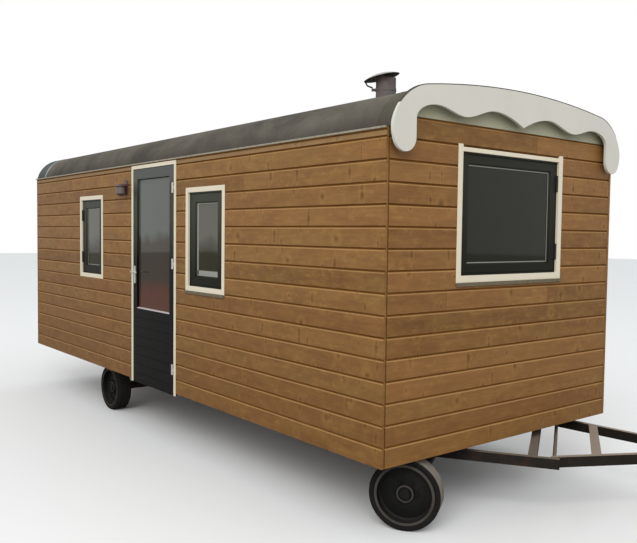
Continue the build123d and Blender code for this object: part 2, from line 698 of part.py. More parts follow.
with BuildPart() as latch_plate:
    with BuildSketch(leaf_face):
        with Locations((latch_x, latch_z - LATCH_PLATE_DROP)):
            SlotOverall(LATCH_PLATE_HEIGHT, LATCH_PLATE_WIDTH, rotation=90)
    extrude(amount=LATCH_PLATE_THICKNESS)
    with BuildSketch(leaf_face.offset(LATCH_PLATE_THICKNESS)):
        with Locations((latch_x, latch_z)):
            Circle(LATCH_BOSS_RADIUS)
    extrude(amount=LATCH_PLATE_THICKNESS)
    with BuildSketch(leaf_face.offset(2 * LATCH_PLATE_THICKNESS)):
        with Locations((latch_x, latch_z)):
            Circle(neck_bore_radius)
    extrude(amount=-LATCH_PLATE_THICKNESS, mode=Mode.SUBTRACT)
finish(latch_plate, "latch_plate")

with BuildPart() as latch_lever:
    neck_start = LATCH_PLATE_THICKNESS + SEAT_GAP
    arm_out = 2 * LATCH_PLATE_THICKNESS + LATCH_STAND
    with BuildSketch(leaf_face.offset(neck_start)):
        with Locations((latch_x, latch_z)):
            Circle(LATCH_NECK_RADIUS)
    extrude(amount=arm_out - neck_start)
    with BuildSketch(Plane(origin=(latch_x, leaf_face.origin.Y - arm_out, latch_z),
                           x_dir=(0, 1, 0), z_dir=(1, 0, 0))):
        Circle(LATCH_ARM_RADIUS)
    extrude(amount=LATCH_ARM_LENGTH)
    with Locations((latch_x, leaf_face.origin.Y - arm_out, latch_z)):
        Sphere(LATCH_ARM_RADIUS)
    with Locations((latch_x + LATCH_ARM_LENGTH, leaf_face.origin.Y - arm_out, latch_z)):
        Sphere(LATCH_ARM_RADIUS)
finish(latch_lever, "latch_lever")


# Wall light: tall back plate, short arm, and a lantern of cap, glass, ring and bowl

light_x = FRONT_X - LIGHT_FROM_GABLE
light_z = EAVE_Z - LIGHT_BELOW_EAVE
light_axis_y = near_face.origin.Y - LIGHT_REACH

with BuildPart() as wall_light:
    with BuildSketch(near_face):
        with Locations((light_x, light_z + LIGHT_PLATE_RISE)):
            SlotOverall(LIGHT_PLATE_HEIGHT, LIGHT_PLATE_WIDTH, rotation=90)
    extrude(amount=LIGHT_PLATE_THICKNESS)
    with BuildSketch(Plane(origin=(light_x, light_axis_y, light_z), x_dir=(1, 0, 0), z_dir=(0, -1, 0))):
        with BuildLine():
            glass_top = LIGHT_GLASS_HEIGHT / 2
            glass_foot = -LIGHT_GLASS_HEIGHT / 2
            ring_foot = glass_foot - LIGHT_RING_HEIGHT
            Polyline((0, ring_foot - LIGHT_BOWL_DEPTH), (0, glass_top + LIGHT_CAP_HEIGHT),
                     (LIGHT_NECK_RADIUS, glass_top + LIGHT_CAP_HEIGHT),
                     (LIGHT_CAP_RADIUS, glass_top + LIGHT_CAP_LIP), (LIGHT_CAP_RADIUS, glass_top),
                     (LIGHT_GLASS_RADIUS, glass_top), (LIGHT_GLASS_RADIUS, glass_foot),
                     (LIGHT_RING_RADIUS, glass_foot), (LIGHT_RING_RADIUS, ring_foot),
                     (LIGHT_GLASS_RADIUS, ring_foot))
            RadiusArc((LIGHT_GLASS_RADIUS, ring_foot), (0, ring_foot - LIGHT_BOWL_DEPTH),
                      (LIGHT_GLASS_RADIUS**2 + LIGHT_BOWL_DEPTH**2) / (2 * LIGHT_BOWL_DEPTH))
        make_face()
    revolve(axis=Axis((light_x, light_axis_y, 0), (0, 0, 1)))
    with BuildSketch(near_face):
        with Locations((light_x, light_z + glass_top + LIGHT_CAP_HEIGHT - LIGHT_ARM_RADIUS)):
            Circle(LIGHT_ARM_RADIUS)
    extrude(amount=LIGHT_REACH)
finish(wall_light, "wall_light")


# Flue: pipe with a clamp band, a tilted domed cap and a bent strap from the cap's edge to the clamp

flue_x = FRONT_X - FLUE_FROM_GABLE
flue_y = MID_Y - FLUE_OFF_MIDDLE
flue_foot_z = CROWN_CENTRE_Z + sqrt(CROWN_RADIUS**2 - FLUE_OFF_MIDDLE**2)
flue_top_z = flue_foot_z + FLUE_HEIGHT
clamp_z = flue_foot_z + CLAMP_ABOVE_FOOT
cowl_bearing = radians(STRAP_BEARING)
strap_plane = Plane(origin=(flue_x, flue_y, 0), x_dir=(cos(cowl_bearing), sin(cowl_bearing), 0),
                    z_dir=(sin(cowl_bearing), -cos(cowl_bearing), 0))

with BuildPart() as flue_pipe:
    with BuildSketch(Plane(origin=(flue_x, flue_y, CROWN_CENTRE_Z), x_dir=(1, 0, 0), z_dir=(0, 0, 1))):
        Circle(FLUE_RADIUS)
    extrude(amount=flue_top_z - CROWN_CENTRE_Z)
    with BuildSketch(Plane(origin=(flue_x, flue_y, clamp_z))):
        Circle(FLUE_RADIUS + CLAMP_THICKNESS)
    extrude(amount=CLAMP_HEIGHT)
    with BuildSketch(strap_plane.offset(-CLAMP_THICKNESS)):
        with Locations((FLUE_RADIUS + CLAMP_EAR / 2, clamp_z + CLAMP_HEIGHT / 2)):
            Rectangle(CLAMP_EAR, CLAMP_HEIGHT)
    extrude(amount=2 * CLAMP_THICKNESS)
    with BuildSketch(cross_plane(flue_x - FLUE_RADIUS)):
        with Locations((0, CROWN_CENTRE_Z)):
            Circle(CROWN_RADIUS)
    extrude(amount=2 * FLUE_RADIUS, mode=Mode.SUBTRACT)
    with BuildSketch(Plane(origin=(flue_x, flue_y, clamp_z))):
        Circle(FLUE_RADIUS - FLUE_WALL)
    extrude(amount=FLUE_HEIGHT, mode=Mode.SUBTRACT)
finish(flue_pipe, "flue_pipe")

cowl_rim_z = flue_foot_z + COWL_ABOVE_FOOT
cowl_tilt = radians(COWL_TILT)
cowl_dome_radius = (COWL_RADIUS**2 + COWL_RISE**2) / (2 * COWL_RISE)
cowl_centre = (flue_x + COWL_SHIFT * cos(cowl_bearing), flue_y + COWL_SHIFT * sin(cowl_bearing), cowl_rim_z)
cowl_up = (cos(cowl_bearing) * sin(cowl_tilt), sin(cowl_bearing) * sin(cowl_tilt), cos(cowl_tilt))
cowl_section = Plane(origin=cowl_centre, z_dir=(sin(cowl_bearing), -cos(cowl_bearing), 0),
                     x_dir=(cos(cowl_bearing) * cos(cowl_tilt), sin(cowl_bearing) * cos(cowl_tilt),
                            -sin(cowl_tilt)))
with BuildPart() as flue_cowl:
    with BuildSketch(cowl_section):
        with BuildLine():
            dome_foot = cowl_dome_radius - COWL_RISE
            inner_radius = cowl_dome_radius - COWL_THICKNESS
            inner_edge = sqrt(inner_radius**2 - dome_foot**2)
            Line((0, COWL_RISE - COWL_THICKNESS), (0, COWL_RISE))
            RadiusArc((0, COWL_RISE), (COWL_RADIUS, 0), cowl_dome_radius)
            Line((COWL_RADIUS, 0), (inner_edge, 0))
            RadiusArc((inner_edge, 0), (0, COWL_RISE - COWL_THICKNESS), -inner_radius)
        make_face()
    revolve(axis=Axis(cowl_centre, cowl_up))
    leg_corner = FLUE_RADIUS - FLUE_WALL - SEAT_GAP
    leg_place = sqrt(leg_corner**2 - (COWL_LEG_WIDTH / 2) ** 2) - COWL_LEG_THICKNESS / 2
    dome_centre_along = COWL_SHIFT - dome_foot * sin(cowl_tilt)
    dome_centre_z = cowl_rim_z - dome_foot * cos(cowl_tilt)
    for number in range(COWL_LEGS):
        turn = 2 * pi * (number + 1 / 2) / COWL_LEGS
        bearing = cowl_bearing + turn
        leg_along = leg_place * cos(turn) - dome_centre_along
        leg_across = leg_place * sin(turn)
        leg_middle_radius = cowl_dome_radius - COWL_THICKNESS / 2
        leg_top_z = dome_centre_z + sqrt(leg_middle_radius**2 - leg_along**2 - leg_across**2)
        with BuildSketch(Plane(origin=(flue_x + leg_place * cos(bearing), flue_y + leg_place * sin(bearing),
                                       flue_top_z - COWL_LEG_WIDTH),
                               x_dir=(cos(bearing), sin(bearing), 0), z_dir=(0, 0, 1))):
            Rectangle(COWL_LEG_THICKNESS, COWL_LEG_WIDTH)
        extrude(amount=leg_top_z - flue_top_z + COWL_LEG_WIDTH)
finish(flue_cowl, "flue_cowl")

with BuildPart() as cowl_strap:
    strap_edge = COWL_SHIFT + (COWL_RADIUS - STRAP_THICKNESS) * cos(cowl_tilt)
    strap_top_z = cowl_rim_z - COWL_RADIUS * sin(cowl_tilt)
    ear_out = FLUE_RADIUS + CLAMP_EAR - STRAP_THICKNESS
    with BuildSketch(strap_plane.offset(-STRAP_WIDTH / 2)):
        with BuildLine():
            Polyline((strap_edge, strap_top_z), (strap_edge - STRAP_RAKE, strap_top_z - STRAP_DROP),
                     (ear_out, clamp_z + CLAMP_HEIGHT + STRAP_THICKNESS / 2))
        trace(line_width=STRAP_THICKNESS)
    extrude(amount=STRAP_WIDTH)
finish(cowl_strap, "cowl_strap")


# Wheels

def wheel(gear_plane, side, label):
    """Tyre and rim of one wheel, revolved about its axle; side is -1 near, +1 far."""
    outward = gear_plane.y_dir * side
    centre = gear_plane.origin + outward * (TRACK_OUTER - TYRE_WIDTH / 2) + Vector(0, 0, WHEEL_RADIUS)
    section = Plane(origin=centre, x_dir=outward, z_dir=outward.cross(Vector(0, 0, 1)))
    axle = Axis(centre, outward)
    half = TYRE_WIDTH / 2
    bead = TYRE_BEAD_WIDTH / 2
    seat = RIM_SEAT_RADIUS + SEAT_GAP
    shoulder = half - TYRE_SHOULDER
    wall = WHEEL_RADIUS - TYRE_SHOULDER
    bulge = TYRE_SHOULDER * sin(pi / 4)
    with BuildPart() as tyre:
        with BuildSketch(section):
            with BuildLine():
                Polyline((-shoulder, WHEEL_RADIUS), (shoulder, WHEEL_RADIUS))
                ThreePointArc((shoulder, WHEEL_RADIUS), (shoulder + bulge, wall + bulge), (half, wall))
                Polyline((half, wall), (bead, RIM_LIP_RADIUS), (bead, seat), (-bead, seat),
                         (-bead, RIM_LIP_RADIUS), (-half, wall))
                ThreePointArc((-half, wall), (-shoulder - bulge, wall + bulge),
                              (-shoulder, WHEEL_RADIUS))
            make_face()
        revolve(axis=axle)
    finish(tyre, f"{label}_tyre")
    barrel = RIM_SEAT_RADIUS - RIM_STEEL
    lip = bead + SEAT_GAP
    disc_edge = barrel + RIM_STEEL / 2
    disc_face = HUB_HALF_LENGTH - RIM_STEEL
    with BuildPart() as rim:
        with BuildSketch(section):
            upright_rect(-lip, lip, barrel, RIM_SEAT_RADIUS)
            upright_rect(lip, lip + RIM_LIP_WIDTH, barrel, RIM_LIP_RADIUS)
            upright_rect(-lip - RIM_LIP_WIDTH, -lip, barrel, RIM_LIP_RADIUS)
            with BuildLine():
                Polyline((DISC_OFFSET, disc_edge), (DISC_OFFSET + RIM_STEEL, disc_edge),
                         (disc_face, 2 * HUB_RADIUS), (disc_face, HUB_RADIUS / 2),
                         (disc_face - RIM_STEEL, HUB_RADIUS / 2), (disc_face - RIM_STEEL, 2 * HUB_RADIUS),
                         close=True)
            make_face()
            upright_rect(-HUB_HALF_LENGTH, HUB_HALF_LENGTH, 0, HUB_RADIUS)
            upright_rect(0, HUB_HALF_LENGTH + HUB_CAP_LENGTH, 0, HUB_CAP_RADIUS)
            upright_rect(-HUB_HALF_LENGTH, disc_face, 0, STUB_RADIUS + STUB_CLEARANCE, Mode.SUBTRACT)
        revolve(axis=axle)
    finish(rim, f"{label}_rim")


wheel(bogie_plane, -1, "front_near_wheel")
wheel(bogie_plane, 1, "front_far_wheel")
wheel(rear_gear_plane, -1, "rear_near_wheel")
wheel(rear_gear_plane, 1, "rear_far_wheel")


def axle(gear_plane, carrier_spread, carrier_bottom, label):
    """Square beam with round stubs for the hubs and a sloped pedestal under each carrier."""
    beam_half = TRACK_OUTER - TYRE_WIDTH / 2 - HUB_HALF_LENGTH - AXLE_END_GAP
    stub_half = TRACK_OUTER - TYRE_WIDTH / 2 + HUB_HALF_LENGTH - RIM_STEEL - AXLE_END_GAP
    along = gear_plane.y_dir
    section = Plane(origin=gear_plane.origin + Vector(0, 0, WHEEL_RADIUS),
                    x_dir=gear_plane.x_dir, z_dir=-along)
    with BuildPart() as beam:
        with BuildSketch(section):
            Rectangle(AXLE_BEAM, AXLE_BEAM)
        extrude(amount=beam_half, both=True)
        with BuildSketch(section):
            Circle(STUB_RADIUS)
        extrude(amount=stub_half, both=True)
        for side in (-1, 1):
            with BuildSketch(section.offset(side * carrier_spread / 2)):
                with BuildLine():
                    top = carrier_bottom - WHEEL_RADIUS
                    foot = AXLE_BEAM / 2
                    Polyline((-PEDESTAL_FOOT_LENGTH / 2, foot), (PEDESTAL_FOOT_LENGTH / 2, foot),
                             (PEDESTAL_TOP_LENGTH / 2, top), (-PEDESTAL_TOP_LENGTH / 2, top), close=True)
                make_face()
            extrude(amount=PEDESTAL_WIDTH / 2, both=True)
    finish(beam, label)


RING_TOP = CLADDING_BOTTOM
MEMBER_TOP = RING_TOP - 2 * RING_THICKNESS - RING_GAP
MEMBER_BOTTOM = MEMBER_TOP - MEMBER_HEIGHT
MEMBER_SPREAD = 2 * MEMBER_OUTER - MEMBER_WIDTH

axle(bogie_plane, MEMBER_SPREAD, MEMBER_BOTTOM, "front_axle")
axle(rear_gear_plane, RAIL_SPREAD, CLADDING_BOTTOM, "rear_axle")


# Turntable: two rings, a bolster between the chassis rails and the kingpin

def turntable_ring(bottom, label):
    """Flat ring about the steering axis."""
    with BuildPart() as ring:
        with BuildSketch(bogie_plane.offset(bottom)):
            Circle(RING_RADIUS + RING_WIDTH / 2)
            Circle(RING_RADIUS - RING_WIDTH / 2, mode=Mode.SUBTRACT)
        extrude(amount=RING_THICKNESS)
    finish(ring, label)


turntable_ring(RING_TOP - RING_THICKNESS, "turntable_upper_ring")
turntable_ring(MEMBER_TOP, "turntable_lower_ring")

with BuildPart() as turntable_bolster:
    inner_rail = RAIL_SPREAD - RAIL_WIDTH
    with BuildSketch(Plane.XY.offset(CLADDING_BOTTOM)):
        with Locations((PIVOT_X, MID_Y)):
            Rectangle(2 * CROSS_WIDTH, inner_rail)
            Circle(KINGPIN_RADIUS + ROD_CLEARANCE, mode=Mode.SUBTRACT)
    extrude(amount=RAIL_HEIGHT / 2)
finish(turntable_bolster, "turntable_bolster")

with BuildPart() as kingpin:
    with BuildSketch(bogie_plane.offset(MEMBER_TOP)):
        Circle(KINGPIN_RADIUS)
    extrude(amount=CLADDING_BOTTOM + RAIL_HEIGHT / 2 + SIDE_CLEARANCE - MEMBER_TOP)
    with BuildSketch(bogie_plane.offset(CLADDING_BOTTOM + RAIL_HEIGHT / 2 + SIDE_CLEARANCE)):
        Circle(KINGPIN_HEAD_RADIUS)
    extrude(amount=KINGPIN_HEAD_HEIGHT)
finish(kingpin, "kingpin")


# Bogie frame: two channels, cross members and the drawbar's hinge rod

def bogie_member(side, label):
    """Side channel of the steering frame, open inward, from behind the axle to past the hinge line."""
    start = bogie_plane.origin - bogie_plane.x_dir * MEMBER_REAR
    offset = bogie_plane.y_dir * (side * MEMBER_SPREAD / 2)
    place = Plane(origin=start + offset + Vector(0, 0, MEMBER_BOTTOM),
                  x_dir=bogie_plane.y_dir, z_dir=bogie_plane.x_dir)
    with BuildPart() as member:
        with BuildSketch(place):
            channel_profile(MEMBER_HEIGHT, MEMBER_WIDTH, MEMBER_STEEL, -side)
        extrude(amount=MEMBER_REAR + HINGE_LINE + MEMBER_HEIGHT / 2)
    finish(member, label)


bogie_member(-1, "bogie_near_member")
bogie_member(1, "bogie_far_member")

MEMBER_INNER = MEMBER_OUTER - MEMBER_WIDTH
MEMBER_WEB_INNER = MEMBER_OUTER - MEMBER_STEEL

with BuildPart() as bogie_cross_members:
    with BuildSketch(bogie_plane.offset(MEMBER_BOTTOM + MEMBER_STEEL)):
        for ahead in (-CROSS_SPREAD, 0, CROSS_SPREAD, FRONT_CROSS):
            with Locations((ahead, 0)):
                Rectangle(CROSS_WIDTH, 2 * MEMBER_WEB_INNER)
    extrude(amount=MEMBER_HEIGHT - 2 * MEMBER_STEEL)
    with BuildSketch(bogie_plane.offset(MEMBER_TOP - MEMBER_STEEL)):
        for ahead in (-CROSS_SPREAD, 0, CROSS_SPREAD):
            with Locations((ahead, 0)):
                Rectangle(CROSS_WIDTH, 2 * MEMBER_INNER)
    extrude(amount=MEMBER_STEEL)
finish(bogie_cross_members, "bogie_cross_members")

ROD_Z = (MEMBER_TOP + MEMBER_BOTTOM) / 2
rod_centre = bogie_plane.origin + bogie_plane.x_dir * HINGE_LINE + Vector(0, 0, ROD_Z)
rod_plane = Plane(origin=rod_centre, x_dir=bogie_plane.x_dir, z_dir=-bogie_plane.y_dir)

with BuildPart() as drawbar_hinge_rod:
    with BuildSketch(rod_plane):
        Circle(HINGE_ROD_RADIUS)
    extrude(amount=MEMBER_WEB_INNER, both=True)
finish(drawbar_hinge_rod, "drawbar_hinge_rod")


# Drawbar: two legs from the hinge rod to the tow eye, with a cross bar

EYE_OUTER = MEMBER_INNER - SIDE_CLEARANCE
EYE_CENTRE = EYE_OUTER - EYE_WIDTH / 2
SHANK_REAR = DRAWBAR_REACH - SHANK_LENGTH
LEG_ANGLE = atan2(EYE_CENTRE - SHANK_WIDTH / 2, DRAWBAR_REACH - HINGE_LINE)


def drawbar_leg(side, label):
    """Bar from its eye on the hinge rod to the side of the tow shank."""
    with BuildPart() as leg:
        with BuildSketch(bogie_plane.offset(MEMBER_BOTTOM)):
            with BuildLine():
                Line((HINGE_LINE, side * EYE_CENTRE), (DRAWBAR_REACH, side * SHANK_WIDTH / 2))
            trace(line_width=LEG_WIDTH)
            with Locations((DRAWBAR_REACH / 2, side * (SHANK_WIDTH / 2 - DRAWBAR_REACH))):
                Rectangle(2 * DRAWBAR_REACH, 2 * DRAWBAR_REACH, mode=Mode.SUBTRACT)
            with Locations((HINGE_LINE - LEG_WIDTH, side * EYE_CENTRE)):
                Rectangle(2 * LEG_WIDTH, 2 * LEG_WIDTH, mode=Mode.SUBTRACT)
            with Locations((HINGE_LINE, side * (EYE_OUTER + LEG_WIDTH))):
                Rectangle(4 * LEG_WIDTH, 2 * LEG_WIDTH, mode=Mode.SUBTRACT)
        extrude(amount=MEMBER_HEIGHT)
        with BuildSketch(rod_plane.offset(-side * EYE_CENTRE)):
            Circle(MEMBER_HEIGHT / 2)
        extrude(amount=EYE_WIDTH / 2, both=True)
        with BuildSketch(rod_plane.offset(-side * EYE_CENTRE)):
            Circle(HINGE_ROD_RADIUS + ROD_CLEARANCE)
        extrude(amount=EYE_WIDTH, both=True, mode=Mode.SUBTRACT)
    finish(leg, label)


drawbar_leg(-1, "drawbar_near_leg")
drawbar_leg(1, "drawbar_far_leg")

with BuildPart() as drawbar_crossbar:
    ahead = HINGE_LINE + CROSSBAR_AHEAD
    bar_half = CROSSBAR_WIDTH / 2
    narrowing = (EYE_CENTRE - SHANK_WIDTH / 2) / (DRAWBAR_REACH - HINGE_LINE)
    inset = LEG_WIDTH / 2 / cos(LEG_ANGLE)
    rear_half = EYE_CENTRE - (CROSSBAR_AHEAD - bar_half) * narrowing - inset
    front_half = EYE_CENTRE - (CROSSBAR_AHEAD + bar_half) * narrowing - inset
    with BuildSketch(bogie_plane.offset(MEMBER_TOP - CROSSBAR_THICKNESS)):
        with BuildLine():
            Polyline((ahead - bar_half, rear_half), (ahead + bar_half, front_half),
                     (ahead + bar_half, -front_half), (ahead - bar_half, -rear_half), close=True)
        make_face()
    extrude(amount=CROSSBAR_THICKNESS)
finish(drawbar_crossbar, "drawbar_crossbar")

with BuildPart() as tow_eye:
    with BuildSketch(bogie_plane.offset(ROD_Z - MEMBER_HEIGHT / 2)):
        with Locations((SHANK_REAR + SHANK_LENGTH / 2, 0)):
            Rectangle(SHANK_LENGTH, SHANK_WIDTH)
    extrude(amount=MEMBER_HEIGHT)
    with BuildSketch(bogie_plane.offset(ROD_Z - TOW_RING_THICKNESS / 2)):
        with Locations((TOW_CENTRE, 0)):
            Circle(TOW_RING_RADIUS)
        with Locations((TOW_CENTRE - TOW_RING_RADIUS / 2, 0)):
            Rectangle(TOW_RING_RADIUS, SHANK_WIDTH)
        with Locations((TOW_CENTRE, 0)):
            Circle(TOW_BORE_RADIUS, mode=Mode.SUBTRACT)
    extrude(amount=TOW_RING_THICKNESS)
finish(tow_eye, "tow_eye")
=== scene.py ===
import json
import math
import random

import bmesh
import bpy
from mathutils import Matrix, Vector


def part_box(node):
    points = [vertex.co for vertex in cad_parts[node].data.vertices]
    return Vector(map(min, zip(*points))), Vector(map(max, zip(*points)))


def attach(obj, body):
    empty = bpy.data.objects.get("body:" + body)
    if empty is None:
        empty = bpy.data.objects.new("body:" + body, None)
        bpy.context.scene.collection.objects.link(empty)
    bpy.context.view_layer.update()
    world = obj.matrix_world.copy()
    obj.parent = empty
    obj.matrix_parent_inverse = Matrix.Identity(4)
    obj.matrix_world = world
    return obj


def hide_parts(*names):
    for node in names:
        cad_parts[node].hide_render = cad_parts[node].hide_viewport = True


# Shepherds hut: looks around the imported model. Metres, same frame as the model.

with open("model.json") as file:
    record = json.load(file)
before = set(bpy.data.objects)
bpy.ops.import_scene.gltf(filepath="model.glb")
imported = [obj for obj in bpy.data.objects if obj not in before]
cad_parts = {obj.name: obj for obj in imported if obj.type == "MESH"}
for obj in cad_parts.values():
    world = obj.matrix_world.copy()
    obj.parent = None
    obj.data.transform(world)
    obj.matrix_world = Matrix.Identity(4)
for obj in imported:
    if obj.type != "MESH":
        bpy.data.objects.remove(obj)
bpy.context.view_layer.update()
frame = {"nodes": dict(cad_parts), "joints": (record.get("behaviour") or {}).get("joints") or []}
nodes = frame["nodes"]
random.seed(7)

MM = 0.001
UP = Vector((0, 0, 1))
SOFT_EDGE = 1.5 * MM

# The body's faces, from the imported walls
front_low, front_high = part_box("front_gable_wall")
FRONT_X = front_high.x
NEAR_Y = front_low.y
FAR_Y = front_high.y
BOTTOM_Z = front_low.z
REAR_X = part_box("rear_gable_wall")[0].x
EAVE_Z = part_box("side_wall_front")[1].z
MID_Y = (NEAR_Y + FAR_Y) / 2
LENGTH = FRONT_X - REAR_X
WIDTH = FAR_Y - NEAR_Y
EAVE = EAVE_Z - BOTTOM_Z

# Boards
PITCH = 135 * MM
BOARD_THICKNESS = 20 * MM
EDGE_ROUND = 1.5 * MM
GROOVE_DEPTH = 12 * MM
GROOVE_HEIGHT = 12 * MM
BEVEL_HEIGHT = 8 * MM
BEVEL_DEPTH = 5 * MM
BOARD_GAP = 0.4 * MM
JOINT_GAP = 2.4 * MM
CORNER_GAP = 30 * MM
CORNER_POST = 23 * MM
EAVE_SHADOW = 24 * MM
SIDE_BOARD_ROWS = 15
FRONT_BOARD_ROWS = 16
REAR_BOARD_ROWS = 18

# Upright joints between boards, in metres along the wall, by row from the lower edge
NEAR_JOINTS = {3: (4.028,), 6: (5.929,), 7: (4.101,), 13: (1.555, 5.038), 14: (0.222, 5.141, 5.884)}
FRONT_JOINTS = {7: (0.555, 1.241, 1.663), 15: (1.49,)}
REAR_JOINTS = {4: (0.9,), 9: (1.6,), 14: (1.1,)}

# Roof curve, measured from the body's lower edge, and the felt on it
SHOULDER = 2008 * MM
SHOULDER_RADIUS = 326 * MM
ROOF_RISE = 2399 * MM
ROOF_OVERHANG = -4 * MM
ROOF_THICKNESS = 60 * MM
REAR_OVERHANG = 12 * MM
FRONT_OVERHANG = 43 * MM
REAR_FELT = 262 * MM
REAR_FELT_THICKNESS = 3 * MM
PALE_LAP = 28 * MM
FRONT_FELT = 110 * MM
FRONT_FELT_THICKNESS = 2 * MM
FELT_STEP = 2 * MM
PLAIN_FELT_STEPS = 24
SHOULDER_OUT = WIDTH / 2 + ROOF_OVERHANG - SHOULDER_RADIUS

# Bargeboard
BARGE_LIP = 24 * MM
BARGE_THICKNESS = 22 * MM
LOBE_RADIUS = 92 * MM
LOBE_INSET = 24 * MM
LOBE_HEIGHT = 2021 * MM
LOBE_TURN = 25
NECK_ABOVE_EAVE = 40 * MM
EDGE_STRIP = 5 * MM
EDGE_STRIP_ABOVE_EAVE = 130 * MM
EDGE_STRIP_TAPER = 110 * MM

# Foot of the outer arch, its head, the cusp, the inner arch's head and the board's centre,
# as shares of the way out to the lobe's inner edge, and of the rise above the lobes
SCALLOP = ((1.0, 0.285), (0.817, 0.535), (0.576, 0.417), (0.291, 0.584), (0.0, 0.382))

# Windows: distance from the gable, centre height, width and height, and widths of the bars
SIDE_WINDOW_SIZE = (636 * MM, 877 * MM)
SIDE_WINDOW_HEIGHT = 1372 * MM
SIDE_TRIM = 42 * MM
SIDE_BARS = (100 * MM, 92 * MM)
SIDE_HINGES = (1150 * MM, 1604 * MM)
FRONT_WINDOW = 2152 * MM
FRONT_WINDOW_LININGS = (25 * MM, 45 * MM)
REAR_WINDOW = 4580 * MM
GABLE_WINDOW_SIZE = (1169 * MM, 910 * MM)
GABLE_WINDOW_HEIGHT = 1574 * MM
GABLE_WINDOW_OFF_MIDDLE = 11 * MM
GABLE_TRIM = 47 * MM
GABLE_BARS = (85 * MM, 80 * MM)
GABLE_HINGES = (1321 * MM, 1824 * MM)
GABLE_HEAD_DROP = 10 * MM
TRIM_LAP = 12 * MM
FRAME_BAR = 13 * MM
FRAME_BACK = 62 * MM
SASH_GAP = 2.5 * MM
BEAD = 8 * MM
SPACER = 7 * MM
REVEAL = 18 * MM
SEAL_WIDTH = 2 * MM
PANE_RECESS = 34 * MM
PANE_THICKNESS = 20 * MM
HINGE_HEIGHT = 118 * MM
HINGE_LEAF = 30 * MM
KNUCKLE_RADIUS = 8 * MM
KNUCKLE_ROUND = 2 * MM

# Door pane
GASKET_WIDTH = 7 * MM
GASKET_THICKNESS = 3 * MM
WEATHER_BAR_NOSE = 4 * MM
WEATHER_BAR_RISE = 9 * MM

# Tyres
TYRE_RADIUS = 238 * MM
TYRE_HALF_WIDTH = 75 * MM
TYRE_SHOULDER = 17 * MM
SIDEWALL_FOOT = (212 * MM, 74 * MM)
TYRE_BEAD = 66 * MM
TREAD_GROOVES = (-32 * MM, -11 * MM, 11 * MM, 32 * MM)
TREAD_GROOVE_DEPTH = 7 * MM
TREAD_GROOVE_MOUTH = 3.5 * MM
TREAD_GROOVE_FLOOR = 2.5 * MM
TREAD_HALF_WIDTH = 62 * MM

# Rims
RIM_LIP = 200 * MM
RIM_SEAT = 190.4 * MM
WHEEL_NUTS = 6
NUT_CIRCLE = 80 * MM
NUT_SEAT = 23 * MM

# Camera at the photograph's place, set out from the body's near front lower corner
CAMERA_PLACE = Vector((3.24767, -3.09001, 1.4288))
CAMERA_LOOK = Vector((-0.7814452, 0.62196856, -0.04998511))
CAMERA_ROLL = 0.6895
CAMERA_LENS = 42.11
SENSOR_WIDTH = 36


# Places on the walls

def grown(half, by):
    """Half sizes of a rectangle with its edges moved out."""
    return half[0] + by, half[1] + by


class Wall:
    """A wall face: u runs along it, h up from the lower edge, d out of the face."""

    def __init__(self, origin, along, out):
        self.origin = Vector(origin)
        self.along = Vector(along)
        self.out = Vector(out)

    def at(self, u, h, d):
        return self.origin + self.along * u + UP * h + self.out * d


near = Wall((FRONT_X, NEAR_Y, BOTTOM_Z), (-1, 0, 0), (0, -1, 0))
far = Wall((FRONT_X, FAR_Y, BOTTOM_Z), (-1, 0, 0), (0, 1, 0))
front = Wall((FRONT_X, NEAR_Y, BOTTOM_Z), (0, 1, 0), (1, 0, 0))
rear = Wall((REAR_X, NEAR_Y, BOTTOM_Z), (0, 1, 0), (-1, 0, 0))


class Window:
    """A window's wall and centre, with half sizes of trim, opening in the trim, hole and glass."""

    def __init__(self, wall, u, h, size, trim, bars):
        self.wall = wall
        self.u = u
        self.h = h
        self.outline = (size[0] / 2, size[1] / 2)
        self.opening = grown(self.outline, -trim)
        self.hole = grown(self.opening, TRIM_LAP)
        self.light = (self.opening[0] - bars[0], self.opening[1] - bars[1])


def side_window(wall, u):
    return Window(wall, u, SIDE_WINDOW_HEIGHT, SIDE_WINDOW_SIZE, SIDE_TRIM, SIDE_BARS)


near_front_window = side_window(near, FRONT_WINDOW)
near_rear_window = side_window(near, REAR_WINDOW)
far_front_window = side_window(far, FRONT_WINDOW)
far_rear_window = side_window(far, REAR_WINDOW)
gable_window = Window(front, WIDTH / 2 - GABLE_WINDOW_OFF_MIDDLE, GABLE_WINDOW_HEIGHT,
                      GABLE_WINDOW_SIZE, GABLE_TRIM, GABLE_BARS)


# Mesh helpers

def prism(mesh, wall, ring, u0, u1):
    """Closed prism along u from a ring of (d, h) points. Returns its faces, the two ends first."""
    start = [mesh.verts.new(wall.at(u0, h, d)) for d, h in ring]
    end = [mesh.verts.new(wall.at(u1, h, d)) for d, h in ring]
    faces = [mesh.faces.new(start), mesh.faces.new(list(reversed(end)))]
    for i in range(len(ring)):
        j = (i + 1) % len(ring)
        faces.append(mesh.faces.new((start[j], start[i], end[i], end[j])))
    return faces


def plate(mesh, wall, outline, d0, d1):
    """Closed plate from an outline of (u, h) points between two depths."""
    back = [mesh.verts.new(wall.at(u, h, d0)) for u, h in outline]
    face = [mesh.verts.new(wall.at(u, h, d1)) for u, h in outline]
    mesh.faces.new(back)
    mesh.faces.new(list(reversed(face)))
    for i in range(len(outline)):
        j = (i + 1) % len(outline)
        mesh.faces.new((back[j], back[i], face[i], face[j]))


def block(mesh, wall, u0, u1, h0, h1, d0, d1):
    """Rectangular block in wall places."""
    plate(mesh, wall, ((u0, h0), (u1, h0), (u1, h1), (u0, h1)), d0, d1)


